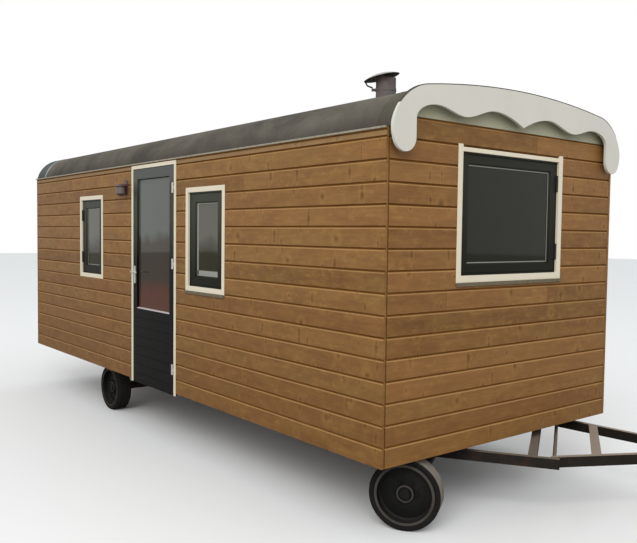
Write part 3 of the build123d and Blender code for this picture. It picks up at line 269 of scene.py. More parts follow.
def ring_frame(mesh, wall, u, h, outer, inner, depths):
    """Rectangular ring with mitred corners. outer and inner are half sizes, depths (back, front)."""
    profile = ((outer, depths[0]), (inner, depths[0]), (inner, depths[1]), (outer, depths[1]))
    sweep_frame(mesh, wall, u, h, profile)


def bridge(mesh, a, b):
    """Faces between two closed rings of vertices."""
    count = len(a)
    return [mesh.faces.new((a[i], a[(i + 1) % count], b[(i + 1) % count], b[i])) for i in range(count)]


def sweep_frame(mesh, wall, u, h, profile):
    """Sweeps a closed profile of (half sizes, depth) points round a rectangle."""
    rings = []
    for su, sh in ((-1, -1), (1, -1), (1, 1), (-1, 1)):
        rings.append([mesh.verts.new(wall.at(u + su * half[0], h + sh * half[1], d))
                      for half, d in profile])
    for a, b in zip(rings, rings[1:] + rings[:1]):
        bridge(mesh, a, b)


def spokes(axis, count, turn=0.0):
    """Unit arms square to an axis and evenly spread round it, turned by a share of their spacing."""
    side = axis.orthogonal().normalized()
    up = axis.cross(side)
    angles = [2 * math.pi * (k + turn) / count for k in range(count)]
    return [side * math.cos(angle) + up * math.sin(angle) for angle in angles]


def lathe(mesh, centre, axis, profile, segments):
    """Closed solid of revolution from a closed profile of (radius, place along the axis)."""
    axis = axis.normalized()
    rings = []
    for arm in spokes(axis, segments):
        rings.append([mesh.verts.new(centre + arm * r + axis * s) for r, s in profile])
    for a, b in zip(rings, rings[1:] + rings[:1]):
        bridge(mesh, a, b)
    verts = [v for ring in rings for v in ring]
    bmesh.ops.remove_doubles(mesh, verts=verts, dist=1e-6)


def mesh_data(name, mesh):
    """Mesh data from a bmesh, with its faces turned outwards."""
    bmesh.ops.recalc_face_normals(mesh, faces=mesh.faces[:])
    data = bpy.data.meshes.new(name)
    mesh.to_mesh(data)
    mesh.free()
    return data


def make(name, mesh, body, slot, *materials, replaces=(), bevel=0.0, smooth=35.0):
    """Turns a bmesh into a piece that rides on a body and takes the given materials. slot is not used.
    """
    data = mesh_data(name, mesh)
    piece = bpy.data.objects.new(name, data)
    bpy.context.scene.collection.objects.link(piece)
    for material in materials:
        data.materials.append(material)
    data.shade_smooth()
    data.set_sharp_from_angle(angle=math.radians(smooth))
    if bevel:
        add_bevel(piece, bevel)
    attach(piece, body)
    if replaces:
        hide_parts(*replaces)
    return piece


def add_bevel(piece, width):
    bevel = piece.modifiers.new("bevel", "BEVEL")
    bevel.width = width
    bevel.segments = 2
    bevel.limit_method = "ANGLE"
    bevel.angle_limit = math.radians(40)
    bevel.harden_normals = True


def cut(piece, mesh):
    """Takes the volumes in a bmesh out of a piece and keeps the result as its mesh."""
    cutter = bpy.data.objects.new("cutter", mesh_data("cutter", mesh))
    bpy.context.scene.collection.objects.link(cutter)
    modifier = piece.modifiers.new("cut", "BOOLEAN")
    modifier.operation = "DIFFERENCE"
    modifier.solver = "EXACT"
    modifier.object = cutter
    graph = bpy.context.evaluated_depsgraph_get()
    graph.update()
    result = bpy.data.meshes.new_from_object(piece.evaluated_get(graph))
    piece.modifiers.remove(modifier)
    piece.data = result
    bpy.data.objects.remove(cutter)


def keep_nodes(material, bevel, *names):
    """Gives CAD nodes their material, and softens their edges."""
    for name in names:
        node = nodes[name]
        for slot in node.material_slots:
            slot.material = material
        if bevel:
            weld = node.modifiers.new("weld", "WELD")
            weld.merge_threshold = 0.00001
            add_bevel(node, bevel)


# Shader helpers

def rgb(red, green, blue):
    """Linear colour from display values of 0 to 255."""
    return tuple(((v / 255) / 12.92 if v / 255 <= 0.04045 else ((v / 255 + 0.055) / 1.055) ** 2.4)
                 for v in (red, green, blue)) + (1.0,)


def add_node(tree, kind, inputs=None, **settings):
    """New node of a tree, with its inputs set or linked."""
    node = tree.nodes.new("ShaderNode" + kind)
    for key, value in settings.items():
        setattr(node, key, value)
    for key, value in (inputs or {}).items():
        if isinstance(value, bpy.types.NodeSocket):
            tree.links.new(value, node.inputs[key])
        else:
            node.inputs[key].default_value = value
    return node


class Shader:
    """One procedural material and short calls for the nodes it needs."""

    def __init__(self, name, roughness=0.6, metallic=0.0, specular=0.5):
        self.material = bpy.data.materials.new(name)
        self.material.use_nodes = True
        self.tree = self.material.node_tree
        self.surface = self.tree.nodes["Principled BSDF"]
        self.surface.inputs["Roughness"].default_value = roughness
        self.surface.inputs["Metallic"].default_value = metallic
        self.surface.inputs["Specular IOR Level"].default_value = specular
        self.place = self.node("TexCoord").outputs["Object"]

    def node(self, kind, inputs=None, **settings):
        return add_node(self.tree, kind, inputs, **settings)

    def set(self, socket, value):
        self.tree.links.new(value, self.surface.inputs[socket])

    def calc(self, operation, a, b):
        return self.node("Math", {0: a, 1: b}, operation=operation).outputs[0]

    def stretch(self, scale, place=None):
        inputs = {0: place or self.place, 1: scale}
        return self.node("VectorMath", inputs, operation="MULTIPLY").outputs[0]

    def noise(self, scale, detail, place=None, roughness=0.5, distortion=0.0):
        inputs = {"Vector": place or self.place, "Scale": scale, "Detail": detail,
                  "Roughness": roughness, "Distortion": distortion}
        return self.node("TexNoise", inputs).outputs["Fac"]

    def span(self, value, low, high, to_low=0.0, to_high=1.0):
        inputs = {"Value": value, "From Min": low, "From Max": high, "To Min": to_low, "To Max": to_high}
        return self.node("MapRange", inputs).outputs["Result"]

    def mix(self, factor, a, b):
        return self.node("Mix", {0: factor, 6: a, 7: b}, data_type="RGBA").outputs[2]

    def bump(self, height, distance, strength):
        inputs = {"Height": height, "Distance": distance, "Strength": strength}
        self.set("Normal", self.node("Bump", inputs).outputs["Normal"])

    def height(self):
        return self.node("SeparateXYZ", {0: self.place}).outputs["Z"]

    def facing_up(self):
        normal = self.node("NewGeometry").outputs["Normal"]
        return self.node("SeparateXYZ", {0: normal}).outputs["Z"]


# Materials

def cladding_material():
    """Stained softwood boards: grain along each board, knots and a tone for each board, with painted
    shade low down and a painted highlight on faces that face up.
    """
    s = Shader("cladding", roughness=0.6, specular=0.3)
    board = s.node("SeparateColor", {0: s.node("Attribute", attribute_name="board").outputs["Color"]})
    tone, hue, shift = board.outputs[0], board.outputs[1], board.outputs[2]
    place = s.node("SeparateXYZ", {0: s.place})
    across = s.calc("ADD", place.outputs[0], place.outputs[1])
    along = s.calc("ADD", across, s.calc("MULTIPLY", shift, 37.0))
    height = s.calc("ADD", place.outputs[2], s.calc("MULTIPLY", shift, 11.0))
    flat = s.node("CombineXYZ", {0: along, 1: height, 2: shift}).outputs[0]
    wave = s.noise(1.0, 2.0, s.stretch((1.3, 9.0, 1.0), flat))
    bent_height = s.calc("ADD", height, s.calc("MULTIPLY", wave, 0.07))
    bent = s.node("CombineXYZ", {0: along, 1: bent_height, 2: shift}).outputs[0]
    grain = s.noise(1.0, 4.0, s.stretch((1.8, 60.0, 1.0), bent), 0.6)
    fine = s.noise(1.0, 4.0, s.stretch((9.0, 190.0, 1.0), bent), 0.6)
    patch = s.noise(1.0, 3.0, s.stretch((3.4, 11.0, 1.0), flat), 0.65)
    blotch = s.noise(1.0, 3.0, s.stretch((11.0, 24.0, 1.0), flat), 0.65)
    stain = s.noise(1.0, 2.0, s.stretch((1.6, 5.0, 1.0), flat), 0.5)
    brown = s.mix(s.span(patch, 0.3, 0.7), rgb(109, 72, 30), rgb(135, 96, 45))
    brown = s.mix(s.span(blotch, 0.53, 0.7, 0.0, 0.48), brown, rgb(160, 120, 58))
    brown = s.mix(s.span(blotch, 0.44, 0.28, 0.0, 0.5), brown, rgb(96, 56, 20))
    brown = s.mix(s.span(stain, 0.5, 0.7, 0.0, 0.3), brown, rgb(122, 102, 48))
    brown = s.mix(s.span(hue, 0.0, 1.0, 0.0, 0.32), brown, rgb(146, 92, 50))
    brown = s.mix(s.span(grain, 0.46, 0.7, 0.0, 0.3), brown, rgb(92, 58, 25))
    brown = s.mix(s.span(fine, 0.5, 0.7, 0.0, 0.15), brown, rgb(84, 54, 22))
    light_board = s.mix(0.1, brown, rgb(196, 152, 90))
    dark_board = s.mix(0.16, brown, rgb(70, 46, 22))
    brown = s.mix(tone, dark_board, light_board)
    for wide, tall, reach, ring_size in ((4.2, 3.6, 0.12, 2.6), (9.0, 2.6, 0.19, 1.8)):
        cells = s.node("TexVoronoi", {"Vector": s.stretch((wide, tall, 1.0), flat), "Scale": 1.0},
                       voronoi_dimensions="2D")
        size = s.node("SeparateColor", {0: cells.outputs["Color"]}).outputs[0]
        limit = s.calc("ADD", s.span(size, 0.2, 1.0, 0.0, reach), 0.001)
        near_knot = s.calc("DIVIDE", cells.outputs["Distance"], limit)
        uneven = s.calc("MULTIPLY", s.calc("SUBTRACT", blotch, 0.5), 2.4)
        rough = s.calc("ADD", near_knot, uneven)
        halo = s.span(rough, ring_size, 1.0)
        knot = s.span(rough, 1.3, 0.0)
        brown = s.mix(s.calc("MULTIPLY", halo, 0.25), brown, rgb(170, 128, 66))
        brown = s.mix(s.calc("MULTIPLY", knot, 0.75), brown, rgb(80, 45, 4))
    brown = s.mix(s.span(tone, 1.2, 1.4, 0.0, 0.25), brown, rgb(150, 136, 104))
    # Painted shade: the boards darken towards the bottom, where less sky reaches them
    low = s.span(place.outputs[2], BOTTOM_Z, BOTTOM_Z + 1.3, 0.26, 0.0)
    brown = s.mix(low, brown, rgb(104, 66, 14))
    # Painted highlight: faces that face up, such as the bevels under the grooves, are paler
    brown = s.mix(s.span(s.facing_up(), 0.1, 0.6, 0.0, 0.45), brown, rgb(178, 138, 86))
    s.set("Base Color", brown)
    relief = s.calc("ADD", s.calc("MULTIPLY", grain, 0.5), s.calc("MULTIPLY", knot, -0.6))
    s.bump(relief, 0.0015, 0.6)
    return s.material


def plain_wood_material(name, light, dark, specular=0.25):
    """Sawn timber or plywood seen inside and in the grooves."""
    s = Shader(name, roughness=0.75, specular=specular)
    grain = s.noise(1.0, 4.0, s.stretch((3.0, 3.0, 40.0)), 0.6)
    s.set("Base Color", s.mix(s.span(grain, 0.3, 0.75), light, dark))
    s.bump(grain, 0.001, 0.4)
    return s.material


def paint_material(name, colour, worn, roughness):
    """Brush-painted timber or rubber with soft dirt and an uneven sheen."""
    s = Shader(name, roughness=roughness)
    dirt_and_shade_noise = s.noise(3.0, 5.0, roughness=0.65)
    brush = s.noise(45.0, 3.0)
    s.set("Base Color", s.mix(s.span(dirt_and_shade_noise, 0.4, 0.8, 0.0, 0.25), colour, worn))
    s.set("Roughness", s.span(dirt_and_shade_noise, 0.3, 0.7, roughness - 0.06, roughness + 0.12))
    s.bump(brush, 0.0005, 0.3)
    return s.material


def shaded_paint_material(name, low_colour, high_colour, low, high, head=None):
    """Glossy dark paint with painted reflection and shade by height: darkest low down, paler towards its
    head.

    low and high are the heights between which the painted shade pales. head is a last, paler painted
    reflection with its own two heights.
    """
    s = Shader(name, roughness=0.38, specular=0.08)
    # The noise only wobbles the height at which the painted shade pales
    dirt_and_shade_noise = s.noise(5.0, 5.0, roughness=0.65)
    level = s.calc("ADD", s.height(), s.calc("MULTIPLY", dirt_and_shade_noise, 0.06))
    shade = s.mix(s.span(level, low, high), low_colour, high_colour)
    if head:
        shade = s.mix(s.span(level, head[1], head[2]), shade, head[0])
    s.set("Base Color", shade)
    s.bump(s.noise(45.0, 3.0), 0.0005, 0.3)
    return s.material


def felt_material(name, light, dark):
    """Weathered mineral roofing felt, with painted shade along the eaves."""
    s = Shader(name, roughness=0.88, specular=0.25)
    cloud = s.noise(1.3, 6.0, roughness=0.68, distortion=0.4)
    grit = s.noise(260.0, 2.0, roughness=0.7)
    stain = s.noise(1.0, 4.0, s.stretch((1.6, 1.0, 2.2)), 0.6)
    shade = s.mix(s.span(cloud, 0.32, 0.66), dark, light)
    shade = s.mix(s.span(stain, 0.5, 0.7, 0.0, 0.4), shade, rgb(112, 106, 82))
    # Painted shade: the felt darkens along the eaves, where the roof turns down
    rim = s.span(s.height(), EAVE_Z, EAVE_Z + 0.1, 0.55, 0.0)
    shade = s.mix(rim, shade, rgb(58, 50, 46))
    shade = s.mix(s.span(grit, 0.35, 0.7, 0.0, 0.45), shade, dark)
    s.set("Base Color", shade)
    s.bump(s.calc("ADD", grit, s.calc("MULTIPLY", s.noise(14.0, 2.0), 1.5)), 0.0018, 0.5)
    return s.material


def steel_material(name, paint, dust, rust, dusty=0.9, roughness=0.55):
    """Painted steel or rubber: dust on what faces up, rust or wear in patches."""
    s = Shader(name, roughness=roughness, specular=0.2)
    cloud = s.noise(9.0, 5.0, roughness=0.65)
    fine = s.noise(70.0, 3.0, roughness=0.6)
    shade = s.mix(s.span(cloud, 0.52, 0.72, 0.0, 0.85), paint, rust)
    lie = s.calc("MULTIPLY", s.span(s.facing_up(), 0.35, 0.9), s.span(fine, 0.25, 0.6, 0.55, 1.0))
    shade = s.mix(s.calc("MULTIPLY", lie, dusty), shade, dust)
    s.set("Base Color", shade)
    s.set("Roughness", s.span(fine, 0.3, 0.7, roughness, roughness + 0.25))
    s.bump(s.calc("ADD", fine, cloud), 0.0008, 0.5)
    return s.material


def glass_material(name, top, bottom, low, high, alpha, specular, foot=None):
    """Double glazing with a painted reflection, paler towards its head.

    low and high are the heights between which the painted reflection pales. foot is a last colour with
    its own two heights.
    """
    s = Shader(name, roughness=0.04, specular=specular)
    # The noise wobbles the height at which the painted reflection pales
    reflection_wobble = s.noise(5.0, 4.0, s.stretch((1.0, 1.0, 0.6)), 0.6)
    level = s.calc("ADD", s.height(), s.calc("MULTIPLY", reflection_wobble, 0.25))
    shade = s.mix(s.span(level, low, high), bottom, top)
    if foot:
        shade = s.mix(s.span(level, foot[1], foot[2], 1.0, 0.0), shade, foot[0])
    s.set("Base Color", shade)
    s.surface.inputs["Alpha"].default_value = alpha
    return s.material


def metal_material(name, colour, stain, roughness, metallic):
    """Bare or plated metal with a faint stain."""
    s = Shader(name, roughness=roughness, metallic=metallic)
    cloud = s.noise(30.0, 4.0, roughness=0.6)
    s.set("Base Color", s.mix(s.span(cloud, 0.45, 0.75, 0.0, 0.6), colour, stain))
    s.set("Roughness", s.span(cloud, 0.3, 0.7, roughness, roughness + 0.2))
    s.bump(cloud, 0.0004, 0.4)
    return s.material


def lamp_material():
    """Wall light: dusky metal with a milky band where its bowl is."""
    s = Shader("lamp_finish", roughness=0.4, specular=0.35)
    low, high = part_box("wall_light")
    tall = high.z - low.z
    place = s.node("SeparateXYZ", {0: s.place})
    foot = s.span(place.outputs["Z"], low.z + 0.08 * tall, low.z + 0.16 * tall)
    head = s.span(place.outputs["Z"], low.z + 0.58 * tall, low.z + 0.5 * tall)
    before_wall = s.span(place.outputs["Y"], high.y - 0.03, high.y - 0.05)
    bowl = s.calc("MULTIPLY", s.calc("MULTIPLY", foot, head), before_wall)
    metal = s.mix(s.noise(30.0, 3.0), rgb(92, 64, 68), rgb(64, 44, 50))
    s.set("Base Color", s.mix(bowl, metal, rgb(102, 92, 86)))
    return s.material


SASH_SHADE = (EAVE_Z - 1.0, EAVE_Z - 0.3)

cladding = cladding_material()
groove_wood = plain_wood_material("groove_wood", rgb(138, 92, 42), rgb(108, 70, 28), 0.05)
lining = plain_wood_material("lining", rgb(132, 108, 88), rgb(112, 88, 70))
floor_wood = plain_wood_material("floor_wood", rgb(128, 98, 66), rgb(96, 70, 44))
white_paint = paint_material("white_paint", rgb(203, 200, 189), rgb(184, 179, 162), 0.5)
# The tympanum's white paint is greyed down: painted shade under the bargeboard
tympanum_shaded_paint = paint_material("tympanum_shaded_paint", rgb(162, 159, 134), rgb(136, 132, 108), 0.6)
cream_paint = paint_material("cream_paint", rgb(218, 208, 186), rgb(196, 182, 150), 0.45)
weather_bar = paint_material("weather_bar", rgb(196, 184, 184), rgb(160, 150, 148), 0.45)
glazing_tape = paint_material("glazing_tape", rgb(138, 138, 128), rgb(108, 108, 98), 0.5)
gasket = paint_material("gasket", rgb(12, 12, 11), rgb(22, 22, 20), 0.6)
# Sash and door paints: painted reflection and shade, dark low down and paler towards the head
green_paint = shaded_paint_material("green_paint", rgb(22, 24, 13), rgb(58, 61, 52), *SASH_SHADE)
# The gable sash takes a darker copy of the green paint: painted shade under the bargeboard
shaded_gable_paint = shaded_paint_material("shaded_gable_paint", rgb(20, 21, 13), rgb(40, 40, 33), *SASH_SHADE)
door_paint = shaded_paint_material("door_paint", rgb(8, 8, 6), rgb(54, 57, 47),
                                   EAVE_Z - 0.92, EAVE_Z - 0.5,
                                   (rgb(80, 82, 78), EAVE_Z - 0.24, EAVE_Z - 0.14))
felt = felt_material("felt", rgb(105, 99, 88), rgb(56, 52, 46))
felt_rear = felt_material("felt_rear", rgb(84, 93, 95), rgb(46, 54, 57))
felt_lap = felt_material("felt_lap", rgb(180, 178, 170), rgb(134, 132, 124))
felt_front = felt_material("felt_front", rgb(92, 87, 76), rgb(50, 47, 40))
dark_felt_and_eave_shade = felt_material("dark_felt_and_eave_shade", rgb(74, 69, 62), rgb(36, 33, 30))
zinc = metal_material("zinc", rgb(148, 141, 124), rgb(100, 92, 78), 0.6, 0.0)
grey_flashing = metal_material("grey_flashing", rgb(100, 90, 70), rgb(70, 60, 46), 0.7, 0.0)
galvanised = metal_material("galvanised", rgb(190, 188, 182), rgb(140, 136, 128), 0.45, 0.4)
black_metal = metal_material("black_metal", rgb(26, 26, 24), rgb(44, 40, 36), 0.5, 0.3)
latch_metal = metal_material("latch_metal", rgb(200, 198, 194), rgb(160, 158, 154), 0.35, 0.6)
lamp_finish = lamp_material()
flue_steel = steel_material("flue_steel", rgb(100, 93, 90), rgb(150, 142, 138), rgb(86, 66, 66),
                            0.5, 0.7)
cowl_steel = steel_material("cowl_steel", rgb(112, 110, 104), rgb(176, 170, 168), rgb(80, 62, 60),
                            0.8, 0.7)
strap_steel = steel_material("strap_steel", rgb(58, 55, 50), rgb(84, 80, 72), rgb(66, 54, 46), 0.5, 0.7)
chassis_paint = steel_material("chassis_paint", rgb(26, 22, 18), rgb(118, 106, 94), rgb(52, 34, 23))
bar_paint = steel_material("bar_paint", rgb(26, 21, 15), rgb(158, 143, 128), rgb(44, 30, 20))
rim_paint = steel_material("rim_paint", rgb(14, 13, 12), rgb(52, 48, 44), rgb(26, 22, 19), 0.5)
rim_worn = steel_material("rim_worn", rgb(66, 62, 57), rgb(104, 97, 90), rgb(38, 34, 30), 0.4)
rim_shaded = steel_material("rim_shaded", rgb(48, 45, 41), rgb(76, 70, 65), rgb(32, 28, 25), 0.4)
tyre_side = steel_material("tyre_side", rgb(22, 20, 18), rgb(76, 70, 64), rgb(36, 32, 28), 0.5, 0.85)
tyre_tread = steel_material("tyre_tread", rgb(122, 114, 105), rgb(136, 127, 117), rgb(92, 84, 76),
                            0.5, 0.85)
tyre_shaded = steel_material("tyre_shaded", rgb(34, 31, 28), rgb(76, 70, 64), rgb(26, 23, 20),
                             0.5, 0.85)
gable_glass = glass_material("gable_glass", rgb(38, 39, 30), rgb(34, 36, 26), 1.7, 2.5, 0.9, 0.18)
side_glass = glass_material("side_glass", rgb(92, 91, 80), rgb(46, 43, 24), 1.85, 2.0, 0.92, 0.2)
door_glass = glass_material("door_glass", rgb(90, 94, 87), rgb(58, 50, 40), 1.95, 2.05, 0.92, 0.2,
                            (rgb(86, 50, 36), 1.5, 1.62))


# Roof curve

def roof_half(inset, count):
    """Points of half the roof curve from the eave to the crown, as (out from the middle, height)."""
    crown_drop = ROOF_RISE - SHOULDER - SHOULDER_RADIUS
    crown_radius = (SHOULDER_OUT ** 2 + crown_drop ** 2) / (2 * crown_drop) + SHOULDER_RADIUS
    blend = math.asin(SHOULDER_OUT / (crown_radius - SHOULDER_RADIUS))
    radius = SHOULDER_RADIUS - inset
    foot = math.asin((EAVE - SHOULDER) / radius)
    points = []
    for k in range(count):
        angle = foot + (math.pi / 2 - blend - foot) * k / count
        points.append((SHOULDER_OUT + radius * math.cos(angle), SHOULDER + radius * math.sin(angle)))
    for k in range(count + 1):
        angle = blend * (1 - k / count)
        reach = crown_radius - inset
        points.append((reach * math.sin(angle), ROOF_RISE - crown_radius + reach * math.cos(angle)))
    return points


def across_gable(half):
    """Both halves of a curve from the points of one half, as (u across the gable, height)."""
    left = [(WIDTH / 2 - y, h) for y, h in half]
    right = [(WIDTH / 2 + y, h) for y, h in reversed(half[:-1])]
    return left + right


def roof_line(inset, count=14):
    """The whole roof curve from the near eave to the far one."""
    return across_gable(roof_half(inset, count))


# Cladding

# Faces of a board's prism, the tone of the narrow boards under the eave, and the cutters' depths
UNDERSIDE, GROOVE_LEDGE, GROOVE_BACK = 2, 6, 7
WEATHERED = 1.5
CUT = (-50 * MM, 20 * MM)


def board_ring(low, high):
    """Section of a shiplap board as (depth, height), with the groove under the next board."""
    groove = high - GROOVE_HEIGHT
    top = high - BOARD_GAP
    return [(-BOARD_THICKNESS, low), (-EDGE_ROUND, low), (0, low + EDGE_ROUND),
            (0, groove - BEVEL_HEIGHT), (-BEVEL_DEPTH, groove), (-GROOVE_DEPTH, groove + MM),
            (-GROOVE_DEPTH, top), (-BOARD_THICKNESS, top)]


def top_board_ring(low, high):
    """Section of the narrow board under the eave, with a shadow groove at its head."""
    top = high - EAVE_SHADOW
    return [(-BOARD_THICKNESS, low), (-EDGE_ROUND, low), (0, low + EDGE_ROUND), (0, top - MM),
            (-MM, top), (-GROOVE_DEPTH, top), (-GROOVE_DEPTH, high), (-BOARD_THICKNESS, high)]


def clad_wall(name, wall, start, end, rows, joints, cutters, replaces):
    """Boards of one wall, cut round its openings. rows lists (lower, upper) edges."""
    mesh = bmesh.new()
    board = mesh.faces.layers.float_color.new("board")
    for row, (low, high) in enumerate(rows):
        narrow = high - low < PITCH / 2
        ring = top_board_ring(low, high) if narrow else board_ring(low, high)
        stops = [start] + sorted(joints.get(row, ())) + [end]
        for k in range(len(stops) - 1):
            u0 = stops[k] + (JOINT_GAP / 2 if k else 0)
            u1 = stops[k + 1] - (JOINT_GAP / 2 if k < len(stops) - 2 else 0)
            tone = WEATHERED if narrow else random.random()
            colour = (tone, random.random(), random.random(), 1)
            faces = prism(mesh, wall, ring, u0, u1)
            for face in faces:
                face[board] = colour
            for side in (UNDERSIDE, GROOVE_LEDGE, GROOVE_BACK):
                faces[side].material_index = 1
            # The narrow board's groove ledge takes the dark felt: painted shade under the eave strip
            if narrow:
                faces[GROOVE_LEDGE].material_index = 2
    piece = make(name, mesh, "hut", "cladding", cladding, groove_wood, dark_felt_and_eave_shade,
                 replaces=replaces, smooth=25)
    cut(piece, cutters)


def window_hole(mesh, window, head_drop=0.0):
    """Cutter for a window and its trim, which is let into the boards. The head board may sit lower."""
    left, right = window.u - window.outline[0], window.u + window.outline[0]
    low, high = window.h - window.outline[1], window.h + window.outline[1]
    outline = [(left, low), (right, low), (right, high)]
    if head_drop:
        half = window.opening[0]
        outline += [(window.u + half, high), (window.u + half, high - head_drop),
                    (window.u - half, high - head_drop), (window.u - half, high)]
    outline.append((left, high))
    plate(mesh, window.wall, outline, *CUT)


def roof_cutter(mesh, wall):
    """Cutter for what lies above the roof's inner curve."""
    aside = 200 * MM
    top = ROOF_RISE + 300 * MM
    outline = roof_line(ROOF_THICKNESS)
    outline += [(WIDTH + aside, EAVE), (WIDTH + aside, top), (-aside, top), (-aside, EAVE)]
    plate(mesh, wall, outline, *CUT)


def full_rows(count):
    """Edges of full boards, counted from the lower edge."""
    return [(k * PITCH, (k + 1) * PITCH) for k in range(count)]


def spread_joints(rows, length):
    """A joint in about half of the rows."""
    joints = {}
    for row in range(rows):
        if random.random() < 0.5:
            joints[row] = (random.uniform(0.15, 0.85) * length,)
    return joints


side_rows = full_rows(SIDE_BOARD_ROWS) + [(SIDE_BOARD_ROWS * PITCH, EAVE)]
door_low, door_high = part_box("door_frame")

near_cut = bmesh.new()
window_hole(near_cut, near_front_window)
window_hole(near_cut, near_rear_window)
block(near_cut, near, FRONT_X - door_high.x, FRONT_X - door_low.x,
      -50 * MM, door_high.z - BOTTOM_Z, *CUT)
clad_wall("near_cladding", near, 0, LENGTH - CORNER_GAP, side_rows, NEAR_JOINTS, near_cut,
          ("side_wall_front", "side_wall_rear", "wall_over_door"))

far_cut = bmesh.new()
window_hole(far_cut, far_front_window)
window_hole(far_cut, far_rear_window)
far_joints = spread_joints(SIDE_BOARD_ROWS, LENGTH)
clad_wall("far_cladding", far, CORNER_GAP, LENGTH, side_rows, far_joints, far_cut, ("far_side_wall",))

front_cut = bmesh.new()
window_hole(front_cut, gable_window, GABLE_HEAD_DROP)
roof_cutter(front_cut, front)
clad_wall("front_cladding", front, CORNER_GAP, WIDTH - CORNER_GAP, full_rows(FRONT_BOARD_ROWS),
          FRONT_JOINTS, front_cut, ("front_gable_wall",))

rear_cut = bmesh.new()
roof_cutter(rear_cut, rear)
clad_wall("rear_cladding", rear, CORNER_GAP, WIDTH - CORNER_GAP, full_rows(REAR_BOARD_ROWS),
          REAR_JOINTS, rear_cut, ("rear_gable_wall",))


def corner_posts():
    """Square posts at the far front and the near rear corner, where the side boards end."""
    mesh = bmesh.new()
    block(mesh, front, WIDTH - CORNER_POST, WIDTH, 0, EAVE, -CORNER_POST, 0)
    block(mesh, rear, 0, CORNER_POST, 0, EAVE, -CORNER_POST, 0)
    board = mesh.faces.layers.float_color.new("board")
    for face in mesh.faces:
        face[board] = (0.8, 0.5, 0.3, 1)
    make("corner_posts", mesh, "hut", "cladding", cladding, bevel=SOFT_EDGE)


corner_posts()


# Wall cores: the walls behind the boards, with the inner lining

def wall_core(name):
    """Copy of a wall drawn in behind its boards; its inner face is the lining."""
    mesh = bmesh.new()
    mesh.from_mesh(nodes[name].data)
    bmesh.ops.remove_doubles(mesh, verts=mesh.verts[:], dist=1e-5)
    inset = BOARD_THICKNESS + MM
    for vert in mesh.verts:
        vert.co.x = min(max(vert.co.x, REAR_X + inset), FRONT_X - inset)
        vert.co.y = min(max(vert.co.y, NEAR_Y + inset), FAR_Y - inset)
    bmesh.ops.dissolve_degenerate(mesh, edges=mesh.edges[:], dist=1e-5)
    bmesh.ops.recalc_face_normals(mesh, faces=mesh.faces[:])
    middle = Vector(((FRONT_X + REAR_X) / 2, MID_Y, 0))
    for face in mesh.faces:
        inward = middle - face.calc_center_median()
        inward.z = 0
        face.material_index = 1 if face.normal.dot(inward.normalized()) > 0.2 else 0
    make(name + "_core", mesh, "hut", "cladding", groove_wood, lining, smooth=25)


for wall_name in ("front_gable_wall", "rear_gable_wall", "side_wall_front", "side_wall_rear",
                  "wall_over_door", "far_side_wall"):
    wall_core(wall_name)


# Roof

FELT, FELT_REAR, FELT_FRONT, LINING, FELT_LAP = range(5)


def roof_stations():
    """Places along the roof: x, how far the felt stands out, and the felt that begins there."""
    lap = REAR_X + REAR_FELT
    first = lap + PALE_LAP + FELT_STEP
    last = FRONT_X - FRONT_FELT
    stations = [(REAR_X - REAR_OVERHANG, REAR_FELT_THICKNESS, FELT_REAR),
                (lap, REAR_FELT_THICKNESS, FELT_LAP),
                (lap + PALE_LAP, REAR_FELT_THICKNESS, FELT_LAP)]
    for k in range(PLAIN_FELT_STEPS):
        stations.append((first + (last - first) * k / PLAIN_FELT_STEPS, 0, FELT))
    stations += [(last, 0, FELT_FRONT),
                 (last + FELT_STEP, FRONT_FELT_THICKNESS, FELT_FRONT),
                 (FRONT_X + FRONT_OVERHANG, FRONT_FELT_THICKNESS, FELT_FRONT)]
    return stations


def roof_skin():
    """Roof with felt lapped at the rear and at the front edge, and a boarded underside."""
    mesh = bmesh.new()
    stations = roof_stations()
    inner = list(reversed(roof_line(ROOF_THICKNESS)))
    rings = []
    for x, rise, _ in stations:
        section = roof_line(-rise) + inner
        rings.append([mesh.verts.new((x, NEAR_Y + u, BOTTOM_Z + h)) for u, h in section])
    count = len(inner) * 2
    half = len(inner)
    for a, b, station in zip(rings, rings[1:], stations):
        for i, face in enumerate(bridge(mesh, a, b)):
            face.material_index = station[2] if i < half - 1 else LINING
    for ring in (rings[0], rings[-1]):
        for i in range(half - 1):
            face = mesh.faces.new((ring[i], ring[i + 1], ring[count - 2 - i], ring[count - 1 - i]))
            face.material_index = FELT_FRONT
    make("roof", mesh, "hut", "roof_felt", felt, felt_rear, felt_front, lining, felt_lap,
         replaces=("roof_shell",), smooth=30)


roof_skin()


# Bargeboard with its dark edge strip

def smooth_step(p, q, count):
    """Points from p to q that leave and arrive level."""
    points = []
    for k in range(1, count + 1):
        t = k / count
        points.append((p[0] + (q[0] - p[0]) * t, p[1] + (q[1] - p[1]) * (3 - 2 * t) * t * t))
    return points


def neck_curve(neck, outer, count):
    """Curve from the roof's edge into the lobe, leaving and arriving along both."""
    radial = Vector((neck[0] - SHOULDER_OUT, neck[1] - SHOULDER)).normalized()
    turn = math.radians(LOBE_TURN)
    chord = math.dist(neck, outer)
    leave = Vector((radial.y, -radial.x)) * chord
    arrive = Vector((-math.sin(turn), -math.cos(turn))) * chord
    points = []
    for k in range(count):
        t = k / count
        point = (Vector(neck) * (2 * t ** 3 - 3 * t * t + 1) + leave * (t ** 3 - 2 * t * t + t)
                 + Vector(outer) * (3 * t * t - 2 * t ** 3) + arrive * (t ** 3 - t * t))
        points.append(tuple(point))
    return points


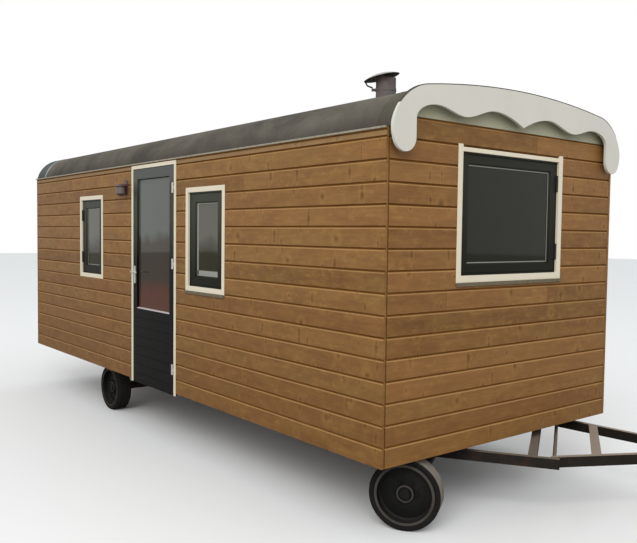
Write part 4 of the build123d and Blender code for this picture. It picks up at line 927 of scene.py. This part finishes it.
def scallop_half():
    """Half the board's lower edge as (out, height), from the neck at the roof's edge to the centre."""
    lobe_y = WIDTH / 2 + ROOF_OVERHANG + BARGE_LIP - LOBE_INSET - LOBE_RADIUS
    turn = math.radians(LOBE_TURN)
    neck_height = EAVE + NECK_ABOVE_EAVE
    reach = math.sqrt((SHOULDER_RADIUS + BARGE_LIP) ** 2 - (neck_height - SHOULDER) ** 2)
    neck = (SHOULDER_OUT + reach, neck_height)
    outer = (lobe_y + LOBE_RADIUS * math.cos(turn), LOBE_HEIGHT - LOBE_RADIUS * math.sin(turn))
    points = neck_curve(neck, outer, 10)
    for k in range(21):
        angle = -turn - (math.pi - turn) * k / 20
        points.append((lobe_y + LOBE_RADIUS * math.cos(angle),
                       LOBE_HEIGHT + LOBE_RADIUS * math.sin(angle)))
    inner = lobe_y - LOBE_RADIUS
    rise = ROOF_RISE + BARGE_LIP - LOBE_HEIGHT
    spring, outer_arch, cusp, inner_arch, centre = [
        (out * inner, LOBE_HEIGHT + up * rise) for out, up in SCALLOP]
    points.append(spring)
    for k in range(1, 15):
        angle = math.pi / 2 * k / 14
        points.append((outer_arch[0] + (spring[0] - outer_arch[0]) * math.cos(angle),
                       spring[1] + (outer_arch[1] - spring[1]) * math.sin(angle)))
    points += smooth_step(outer_arch, cusp, 14)
    points += smooth_step(cusp, inner_arch, 14)
    for k in range(1, 17):
        t = k / 16
        drop = 1.125 * t ** 2 - 0.125 * t ** 3
        points.append((inner_arch[0] * (1 - t), inner_arch[1] + (centre[1] - inner_arch[1]) * drop))
    return points


def barge_board():
    """Scalloped board, and a thin dark strip along the crown of its upper edge."""
    full = roof_line(-BARGE_LIP, 28)
    bare = roof_line(EDGE_STRIP - BARGE_LIP, 28)
    crown = EAVE + EDGE_STRIP_ABOVE_EAVE
    painted = []
    for high, low in zip(full, bare):
        share = min(max((high[1] - crown) / EDGE_STRIP_TAPER, 0.0), 1.0)
        painted.append((high[0] + (low[0] - high[0]) * share, high[1] + (low[1] - high[1]) * share))
    upper = [point for point in painted if point[1] > EAVE + NECK_ABOVE_EAVE + 5 * MM]
    face = FRONT_OVERHANG + BARGE_THICKNESS
    mesh = bmesh.new()
    plate(mesh, front, across_gable(scallop_half()) + list(reversed(upper)), FRONT_OVERHANG, face)
    make("barge_board_painted", mesh, "hut", "white_paint", white_paint, replaces=("barge_board",),
         bevel=2 * MM, smooth=40)
    strip = [high for high in full if high[1] > crown]
    under = [point for high, point in zip(full, painted) if high[1] > crown]
    mesh = bmesh.new()
    plate(mesh, front, strip + list(reversed(under)), FRONT_OVERHANG - 3 * MM, face + 0.5 * MM)
    make("barge_edge_strip", mesh, "hut", "roof_felt", dark_felt_and_eave_shade, smooth=40)


barge_board()


# Windows

def dress_window(name, window, frame_node, glass=side_glass, paint=green_paint, linings=(0, 0)):
    """Fixed frame, sash with a sloped bead, pale spacer, pane and seal of one window.

    linings are the widths of the pale reveal seen behind the glass, at one side and at the foot.
    """
    wall, u, h = window.wall, window.u, window.h
    light = window.light
    fixed = grown(window.opening, -FRAME_BAR)
    sash = grown(fixed, -SASH_GAP)
    bead = grown(light, BEAD)
    sash_back = 2 * MM - FRAME_BACK
    mesh = bmesh.new()
    ring_frame(mesh, wall, u, h, window.hole, fixed, (-FRAME_BACK, -REVEAL - 0.5 * MM))
    sweep_frame(mesh, wall, u, h, (
        (sash, sash_back), (light, sash_back), (light, -PANE_RECESS + 2 * MM),
        (bead, -REVEAL - 5 * MM), (bead, -REVEAL), (sash, -REVEAL)))
    make(name + "_sash", mesh, "hut", "dark_green_paint", paint, replaces=(frame_node,), bevel=1.4 * MM)
    mesh = bmesh.new()
    ring_frame(mesh, wall, u, h, light, grown(light, -SPACER), (-PANE_RECESS, -PANE_RECESS + 1.5 * MM))
    side, foot = linings
    right, low, high = u + light[0] - MM, h - light[1] + MM, h + light[1] - MM
    if side:
        block(mesh, wall, right + MM - side, right, low, high, -PANE_RECESS, -PANE_RECESS + MM)
    if foot:
        block(mesh, wall, u - light[0] + MM, right, low, low - MM + foot,
              -PANE_RECESS, -PANE_RECESS + MM)
    make(name + "_tape", mesh, "hut", "zinc", glazing_tape)
    mesh = bmesh.new()
    block(mesh, wall, u - light[0], u + light[0], h - light[1], h + light[1],
          -PANE_RECESS - PANE_THICKNESS, -PANE_RECESS)
    make(name + "_glass", mesh, "hut", "window_glass", glass, replaces=("window_panes",))
    mesh = bmesh.new()
    ring_frame(mesh, wall, u, h, grown(window.outline, SEAL_WIDTH), window.outline,
               (-BOARD_THICKNESS, -EDGE_ROUND))
    make(name + "_seal", mesh, "hut", "cladding", groove_wood)


def window_hinges(name, window, heights):
    """Knuckles and leaves against the trim's inner edge, away from the near front corner."""
    tall, radius, cap = HINGE_HEIGHT, KNUCKLE_RADIUS, KNUCKLE_ROUND
    knuckle = [(0, 0), (radius - cap, 0), (radius, cap),
               (radius, tall - cap), (radius - cap, tall), (0, tall)]
    pin = window.u + window.opening[0] - radius
    mesh = bmesh.new()
    for height in heights:
        low, high = height - tall / 2, height + tall / 2
        lathe(mesh, window.wall.at(pin, low, -REVEAL / 2), UP, knuckle, 14)
        block(mesh, window.wall, pin - HINGE_LEAF, pin, low + 6 * MM, high - 6 * MM,
              -REVEAL, -REVEAL + 2 * MM)
    make(name + "_hinges", mesh, "hut", "hinge_steel", black_metal, bevel=0.8 * MM)


dress_window("near_front_window", near_front_window, "front_window_frame", linings=FRONT_WINDOW_LININGS)
dress_window("near_rear_window", near_rear_window, "rear_window_frame")
dress_window("gable_window", gable_window, "gable_window_frame", gable_glass, shaded_gable_paint)
dress_window("far_front_window", far_front_window, "far_window_frames")
dress_window("far_rear_window", far_rear_window, "far_window_frames")
window_hinges("near_rear_window", near_rear_window, SIDE_HINGES)
window_hinges("gable_window", gable_window, GABLE_HINGES)


# Wheels

def axle(wheel):
    """Centre of a packed wheel, and its axis pointing outwards."""
    joint = next(j for j in frame["joints"] if j["child"] == wheel)
    centre = Vector(joint["pos_m"])
    axis = Vector(joint["axis"]).normalized()
    return centre, -axis if centre.y < MID_Y else axis


def mark_worn(mesh, centre, axis, worn):
    """Second material for the faces that a test of (radius, place along the axle) calls worn."""
    for face in mesh.faces:
        arm = face.calc_center_median() - centre
        place = arm.dot(axis)
        face.material_index = 1 if worn((arm - axis * place).length, place) else 0


def on_tread(radius, place):
    return radius > TYRE_RADIUS - 9 * MM and abs(place) < TREAD_HALF_WIDTH


def on_rim_edge(radius, place):
    flange = radius > 180 * MM and place > 60 * MM
    hub_ring = 46 * MM < radius < 56 * MM and place > 40 * MM
    return flange or hub_ring


def tyre(wheel, tread):
    """Tyre with a grooved tread."""
    centre, axis = axle(wheel)
    side = [(RIM_SEAT, TYRE_BEAD), (RIM_LIP, TYRE_BEAD), SIDEWALL_FOOT,
            (TYRE_RADIUS - TYRE_SHOULDER, TYRE_HALF_WIDTH)]
    for k in range(1, 6):
        angle = math.pi / 2 * k / 6
        side.append((TYRE_RADIUS - TYRE_SHOULDER * (1 - math.sin(angle)),
                     TYRE_HALF_WIDTH - TYRE_SHOULDER * (1 - math.cos(angle))))
    profile = [(radius, -place) for radius, place in side]
    floor = TYRE_RADIUS - TREAD_GROOVE_DEPTH
    for mid in TREAD_GROOVES:
        profile += [(TYRE_RADIUS, mid - TREAD_GROOVE_MOUTH), (floor, mid - TREAD_GROOVE_FLOOR),
                    (floor, mid + TREAD_GROOVE_FLOOR), (TYRE_RADIUS, mid + TREAD_GROOVE_MOUTH)]
    profile += reversed(side)
    mesh = bmesh.new()
    lathe(mesh, centre, axis, profile, 96)
    mark_worn(mesh, centre, axis, on_tread)
    make(wheel + "_tyre_worn", mesh, wheel, "tyre", tyre_side, tread,
         replaces=(wheel + "_tyre",), smooth=40)


def rim(wheel, edge):
    """Dished rim with its hub and nuts. Profiles are (radius, place along the axle) in millimetres."""
    centre, axis = axle(wheel)
    barrel = ((182, -72), (200, -72), (200, -66.5), (190, -66),
              (190, 66), (200, 66.5), (200, 73), (183, 73))
    dish = ((183, 20), (170, 10), (118, 20), (100, 24), (62, 24))
    hub = ((57, 44), (47, 46), (44, 40), (36, 40), (33, 55), (0, 56))
    back = ((0, 50.4), (25, 50), (25.1, -58), (52, -58), (52, 12), (100, 14), (166, 0), (182, 8))
    nut = ((0, 0), (15, 0), (15, 3), (11, 3), (11, 14), (6, 15), (6, 21), (0, 21))
    mesh = bmesh.new()
    lathe(mesh, centre, axis, [(r * MM, s * MM) for r, s in barrel + dish + hub + back], 64)
    mark_worn(mesh, centre, axis, on_rim_edge)
    for arm in spokes(axis, WHEEL_NUTS, 0.3):
        start = centre + arm * NUT_CIRCLE + axis * NUT_SEAT
        lathe(mesh, start, axis, [(r * MM, s * MM) for r, s in nut], 6)
    make(wheel + "_rim_painted", mesh, wheel, "rim_steel", rim_paint, edge,
         replaces=(wheel + "_rim",), smooth=38)


for wheel in ("front_near_wheel", "front_far_wheel"):
    tyre(wheel, tyre_tread)
    rim(wheel, rim_worn)
# The rear wheels take darker copies of the tread and rim edge: painted shade under the body
for wheel in ("rear_near_wheel", "rear_far_wheel"):
    tyre(wheel, tyre_shaded)
    rim(wheel, rim_shaded)


# Door glazing

def door_details():
    """Pane, gasket and weather bar of the door."""
    pane_low, pane_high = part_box("door_pane")
    u0, u1 = FRONT_X - pane_high.x, FRONT_X - pane_low.x
    h0, h1 = pane_low.z - BOTTOM_Z, pane_high.z - BOTTOM_Z
    glass = NEAR_Y - pane_low.y
    mesh = bmesh.new()
    block(mesh, near, u0, u1, h0, h1, NEAR_Y - pane_high.y, glass)
    make("door_glazing", mesh, "door", "window_glass", door_glass, replaces=("door_pane",))
    mesh = bmesh.new()
    opening = ((u1 - u0) / 2, (h1 - h0) / 2)
    ring_frame(mesh, near, (u0 + u1) / 2, (h0 + h1) / 2, opening, grown(opening, -GASKET_WIDTH),
               (glass, glass + GASKET_THICKNESS))
    make("door_gasket", mesh, "door", "dark_green_paint", gasket)
    mesh = bmesh.new()
    nose = NEAR_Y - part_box("door_leaf")[0].y + WEATHER_BAR_NOSE
    ring = [(glass + MM, h0), (nose, h0 - 2 * MM), (nose, h0 + MM), (glass + MM, h0 + WEATHER_BAR_RISE)]
    prism(mesh, near, ring, u0 + 2 * MM, u1 - 2 * MM)
    make("door_weather_bar", mesh, "door", "cream_paint", weather_bar, bevel=MM)


door_details()


# Kept nodes

keep_nodes(cream_paint, 2 * MM, "front_window_trim", "rear_window_trim", "gable_window_trim",
           "far_window_trims", "door_trim")
keep_nodes(green_paint, SOFT_EDGE, "door_frame")
keep_nodes(door_paint, SOFT_EDGE, "door_leaf")
keep_nodes(tympanum_shaded_paint, 0, "front_tympanum")
keep_nodes(floor_wood, 0, "floor_deck")
keep_nodes(zinc, MM, "eave_strips")
keep_nodes(grey_flashing, MM, "window_flashings")
keep_nodes(galvanised, 0, "door_hinges", "door_hinge_pins")
keep_nodes(latch_metal, 0, "latch_plate", "latch_lever")
keep_nodes(lamp_finish, 0, "wall_light")
keep_nodes(flue_steel, 0, "flue_pipe")
keep_nodes(cowl_steel, 0, "flue_cowl")
keep_nodes(strap_steel, 0, "cowl_strap")
keep_nodes(chassis_paint, SOFT_EDGE, "chassis_near_rail", "chassis_far_rail", "rear_axle", "front_axle",
           "turntable_upper_ring", "turntable_lower_ring", "turntable_bolster", "kingpin",
           "bogie_near_member", "bogie_far_member", "bogie_cross_members", "drawbar_hinge_rod")
keep_nodes(bar_paint, SOFT_EDGE, "drawbar_near_leg", "drawbar_far_leg", "drawbar_crossbar", "tow_eye")
keep_nodes(groove_wood, SOFT_EDGE, "chassis_bearers")


# Floor, light and camera

def studio_floor():
    """Pale floor that looks white to the camera and throws less light on the object."""
    bpy.ops.mesh.primitive_plane_add(size=120)
    ground = bpy.context.object
    ground.name = "studio_floor"
    s = Shader("studio_floor", roughness=0.9, specular=0.1)
    seen = s.node("LightPath").outputs["Is Camera Ray"]
    s.set("Base Color", s.mix(seen, (0.42, 0.41, 0.4, 1), (0.84, 0.84, 0.83, 1)))
    ground.data.materials.append(s.material)


def studio_light():
    """Soft light from all round, white where it is seen or mirrored, and one broad lamp."""
    world = bpy.data.worlds.new("studio")
    bpy.context.scene.world = world
    world.use_nodes = True
    tree = world.node_tree
    tree.nodes.clear()
    paths = add_node(tree, "LightPath").outputs
    shown = paths["Is Camera Ray"]
    for ray in ("Is Glossy Ray", "Is Transmission Ray"):
        shown = add_node(tree, "Math", {0: shown, 1: paths[ray]}, operation="MAXIMUM").outputs[0]
    sky = add_node(tree, "Background", {"Color": (0.95, 0.98, 1.0, 1), "Strength": 0.92})
    white = add_node(tree, "Background", {"Color": (1, 1, 1, 1)})
    mix = add_node(tree, "MixShader", {0: shown, 1: sky.outputs[0], 2: white.outputs[0]})
    add_node(tree, "OutputWorld", {0: mix.outputs[0]})
    lamp = bpy.data.lights.new("broad_lamp", "AREA")
    lamp.shape = "RECTANGLE"
    lamp.size = 18
    lamp.size_y = 12
    lamp.energy = 3500
    holder = bpy.data.objects.new("broad_lamp", lamp)
    bpy.context.scene.collection.objects.link(holder)
    holder.location = (FRONT_X + 12, NEAR_Y - 15, 15)
    aim = Vector((0, MID_Y, 1.2)) - holder.location
    holder.rotation_euler = aim.to_track_quat("-Z", "Y").to_euler()


def camera():
    """Camera at the photograph's place."""
    data = bpy.data.cameras.new("camera")
    data.sensor_width = SENSOR_WIDTH
    data.lens = CAMERA_LENS
    holder = bpy.data.objects.new("camera", data)
    bpy.context.scene.collection.objects.link(holder)
    roll = Matrix.Rotation(math.radians(CAMERA_ROLL), 3, "Z")
    turn = CAMERA_LOOK.to_track_quat("-Z", "Y").to_matrix() @ roll
    holder.matrix_world = turn.to_4x4()
    holder.location = near.origin + CAMERA_PLACE
    bpy.context.scene.camera = holder


studio_floor()
studio_light()
camera()
bpy.context.scene.view_settings.view_transform = "Standard"
